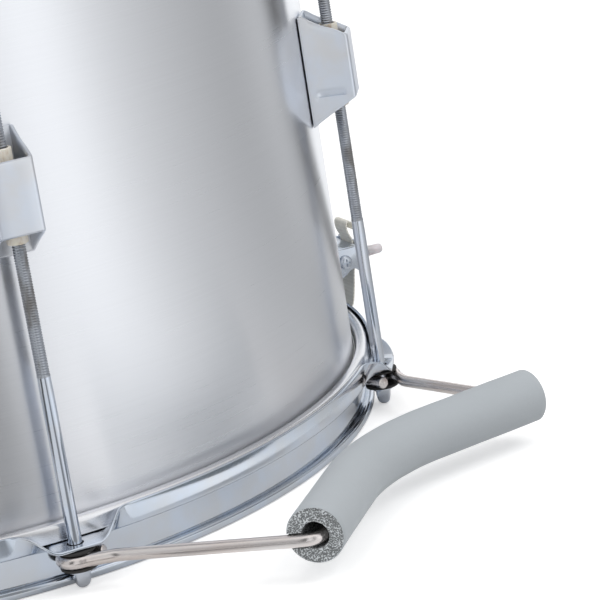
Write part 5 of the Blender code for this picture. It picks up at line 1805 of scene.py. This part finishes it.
@dataclass
class Studio:
    """The floor, the lamps, the surroundings that metal reflects, and the camera."""

    floor_z: float = -0.3119
    lens: float = 146.058
    sensor: float = 36.0
    location: tuple[float, float, float] = (-0.7496, -0.8152, 0.0324)
    turn: tuple[float, float, float] = (1.3015, 0.1537, -0.9509)

    def build(self) -> None:
        """Builds the studio."""
        scene = bpy.context.scene
        scene.view_settings.view_transform = "Standard"
        self.camera()
        self.floor()
        self.tent()
        self.world()
        self.lamp("key", (0.9, -1.6, 1.5), 1.3, 20.0)
        self.lamp("overhead", (-0.3, 0.2, 2.2), 2.2, 24.0)
        self.lamp("fill", (-2.0, -0.2, 1.0), 1.6, 12.0)

    def camera(self) -> None:
        """The camera, at the photograph's viewing angle."""
        data = bpy.data.cameras.new("camera")
        data.lens = self.lens
        data.sensor_width = self.sensor
        data.clip_start = 0.01
        camera = bpy.data.objects.new("camera", data)
        camera.location = self.location
        camera.rotation_euler = self.turn
        bpy.context.scene.collection.objects.link(camera)
        bpy.context.scene.camera = camera

    def lamp(self, name: str, spot: tuple[float, float, float], size: float, watts: float) -> None:
        """A square soft lamp that points at the middle of the drum."""
        data = bpy.data.lights.new(name, "AREA")
        data.shape = "SQUARE"
        data.size = size
        data.energy = watts
        lamp = bpy.data.objects.new(name, data)
        lamp.location = spot
        aim = Vector((0, 0, -0.15)) - Vector(spot)
        lamp.rotation_euler = aim.to_track_quat("-Z", "Y").to_euler()
        lamp.visible_glossy = False
        bpy.context.scene.collection.objects.link(lamp)

    def floor(self) -> None:
        """A pale floor that looks white to the camera and keeps the drum's shadow."""
        mesh = bpy.data.meshes.new("studio_floor")
        reach = 12.0
        corners = [(-reach, -reach), (reach, -reach), (reach, reach), (-reach, reach)]
        mesh.from_pydata([(x, y, self.floor_z) for x, y in corners], [], [(0, 1, 2, 3)])
        floor = bpy.data.objects.new("studio_floor", mesh)
        bpy.context.scene.collection.objects.link(floor)
        board = Board("pale_studio_floor")
        path = board.add("ShaderNodeLightPath", out="Is Camera Ray")
        board.put(base_color=(0.8, 0.8, 0.8), roughness=0.9, specular_ior_level=0.0)
        board.put(emission_color=path.blend((0.0, 0.0, 0.0), (1.0, 1.0, 1.0)), emission_strength=0.45)
        mesh.materials.append(board.product)

    def tent(self) -> None:
        """A ring of soft panels round the drum that only reflections see."""
        profile = [(0.25, 0.0), (0.6, 0.0), (1.2, 0.0), (2.2, 0.0), (2.5, 0.15), (2.6, 0.8), (2.4, 1.8), (1.2, 2.7), (0.02, 2.9)]
        sides = 96
        points, faces = [], []
        for r, z in profile:
            points += [tuple(radial(360 * k / sides) * r + UP * (z + self.floor_z + 0.0004)) for k in range(sides)]
        for row in range(len(profile) - 1):
            for k in range(sides):
                a, b = row * sides + k, row * sides + (k + 1) % sides
                faces.append((a, b, b + sides, a + sides))
        mesh = bpy.data.meshes.new("studio_tent")
        mesh.from_pydata(points, [], faces)
        tent = bpy.data.objects.new("studio_tent", mesh)
        bpy.context.scene.collection.objects.link(tent)
        for flag in ("visible_camera", "visible_diffuse", "visible_shadow", "visible_volume_scatter"):
            setattr(tent, flag, False)
        tent.visible_transmission = False
        board = Board("studio_tent_panels")
        place = board.place()
        turn = board.add(
            "ShaderNodeMath", {"operation": "ARCTAN2"}, {0: board.split(place, "X"), 1: board.split(place, "Y") * -1.0}
        )
        share = turn * (0.5 / math.pi) + 0.5
        panels = board.add("ShaderNodeValToRGB", {"stops": self.panels()}, {0: share})
        high = board.split(place, "Z").ease(1.5, 2.5)
        colour = high.blend(panels, (1.0, 1.0, 1.0))
        board.put(base_color=(0.0, 0.0, 0.0), specular_ior_level=0.0, emission_color=colour, emission_strength=1.0)
        mesh.materials.append(board.product)

    @staticmethod
    def panels() -> list[tuple[float, Colour]]:
        """How light the tent is at each angle, as a ramp from -180 to 180 degrees."""
        levels = [(-180, 0.9), (-150, 0.9), (-146, 0.12), (-128, 0.1), (-124, 0.7), (-92, 0.8), (-88, 0.15), (-70, 0.1)]
        levels += [(-66, 0.9), (-40, 0.9), (-36, 0.3), (-28, 0.3), (-22, 0.85), (-5, 1.16), (2, 1.12), (7, 0.98), (12, 0.86)]
        levels += [(20, 0.73), (29, 0.63), (37, 0.56), (47, 0.49), (54, 0.47), (60, 0.53), (68, 0.6), (74, 0.62), (78, 0.05)]
        levels += [(85, 0.05), (88, 1.1), (125, 1.0), (130, 0.2), (136, 0.2), (141, 0.95)]
        return [((phi + 180) / 360, (level * 0.97, level * 0.985, level)) for phi, level in levels]

    def world(self) -> None:
        """White surroundings for what the camera and clear things see, softer ones for the light they give."""
        world = bpy.data.worlds.new("studio")
        bpy.context.scene.world = world
        world.use_nodes = True
        tree = world.node_tree
        background = tree.nodes["Background"]
        path = tree.nodes.new("ShaderNodeLightPath")
        sees = tree.nodes.new("ShaderNodeMath")
        sees.operation = "MAXIMUM"
        clear = tree.nodes.new("ShaderNodeMath")
        clear.operation = "MAXIMUM"
        tree.links.new(path.outputs["Is Camera Ray"], sees.inputs[0])
        tree.links.new(path.outputs["Is Glossy Ray"], sees.inputs[1])
        tree.links.new(sees.outputs[0], clear.inputs[0])
        tree.links.new(path.outputs["Is Transmission Ray"], clear.inputs[1])
        level = tree.nodes.new("ShaderNodeMapRange")
        level.inputs["To Min"].default_value = 0.5
        level.inputs["To Max"].default_value = 1.0
        tree.links.new(clear.outputs[0], level.inputs["Value"])
        tree.links.new(level.outputs[0], background.inputs["Strength"])
        background.inputs["Color"].default_value = (1.0, 1.0, 1.0, 1.0)


def main() -> None:
    """Builds the drum and its studio."""
    logging.basicConfig(level=logging.INFO, format="%(message)s")
    finishes = Finishes()
    Studio().build()
    straps = Straps()
    assemblies = (
        ShellAndHeads(finishes),
        CounterHoops(finishes),
        TensionRods(finishes),
        Lugs(finishes),
        KneeRest(finishes),
        Snares(finishes),
        Butt(finishes, straps),
        Strainer(finishes, straps),
        Sling(finishes),
    )
    for assembly in assemblies:
        assembly.build()
        LOG.info("built %s", type(assembly).__name__)


if __name__ == "__main__":
    main()
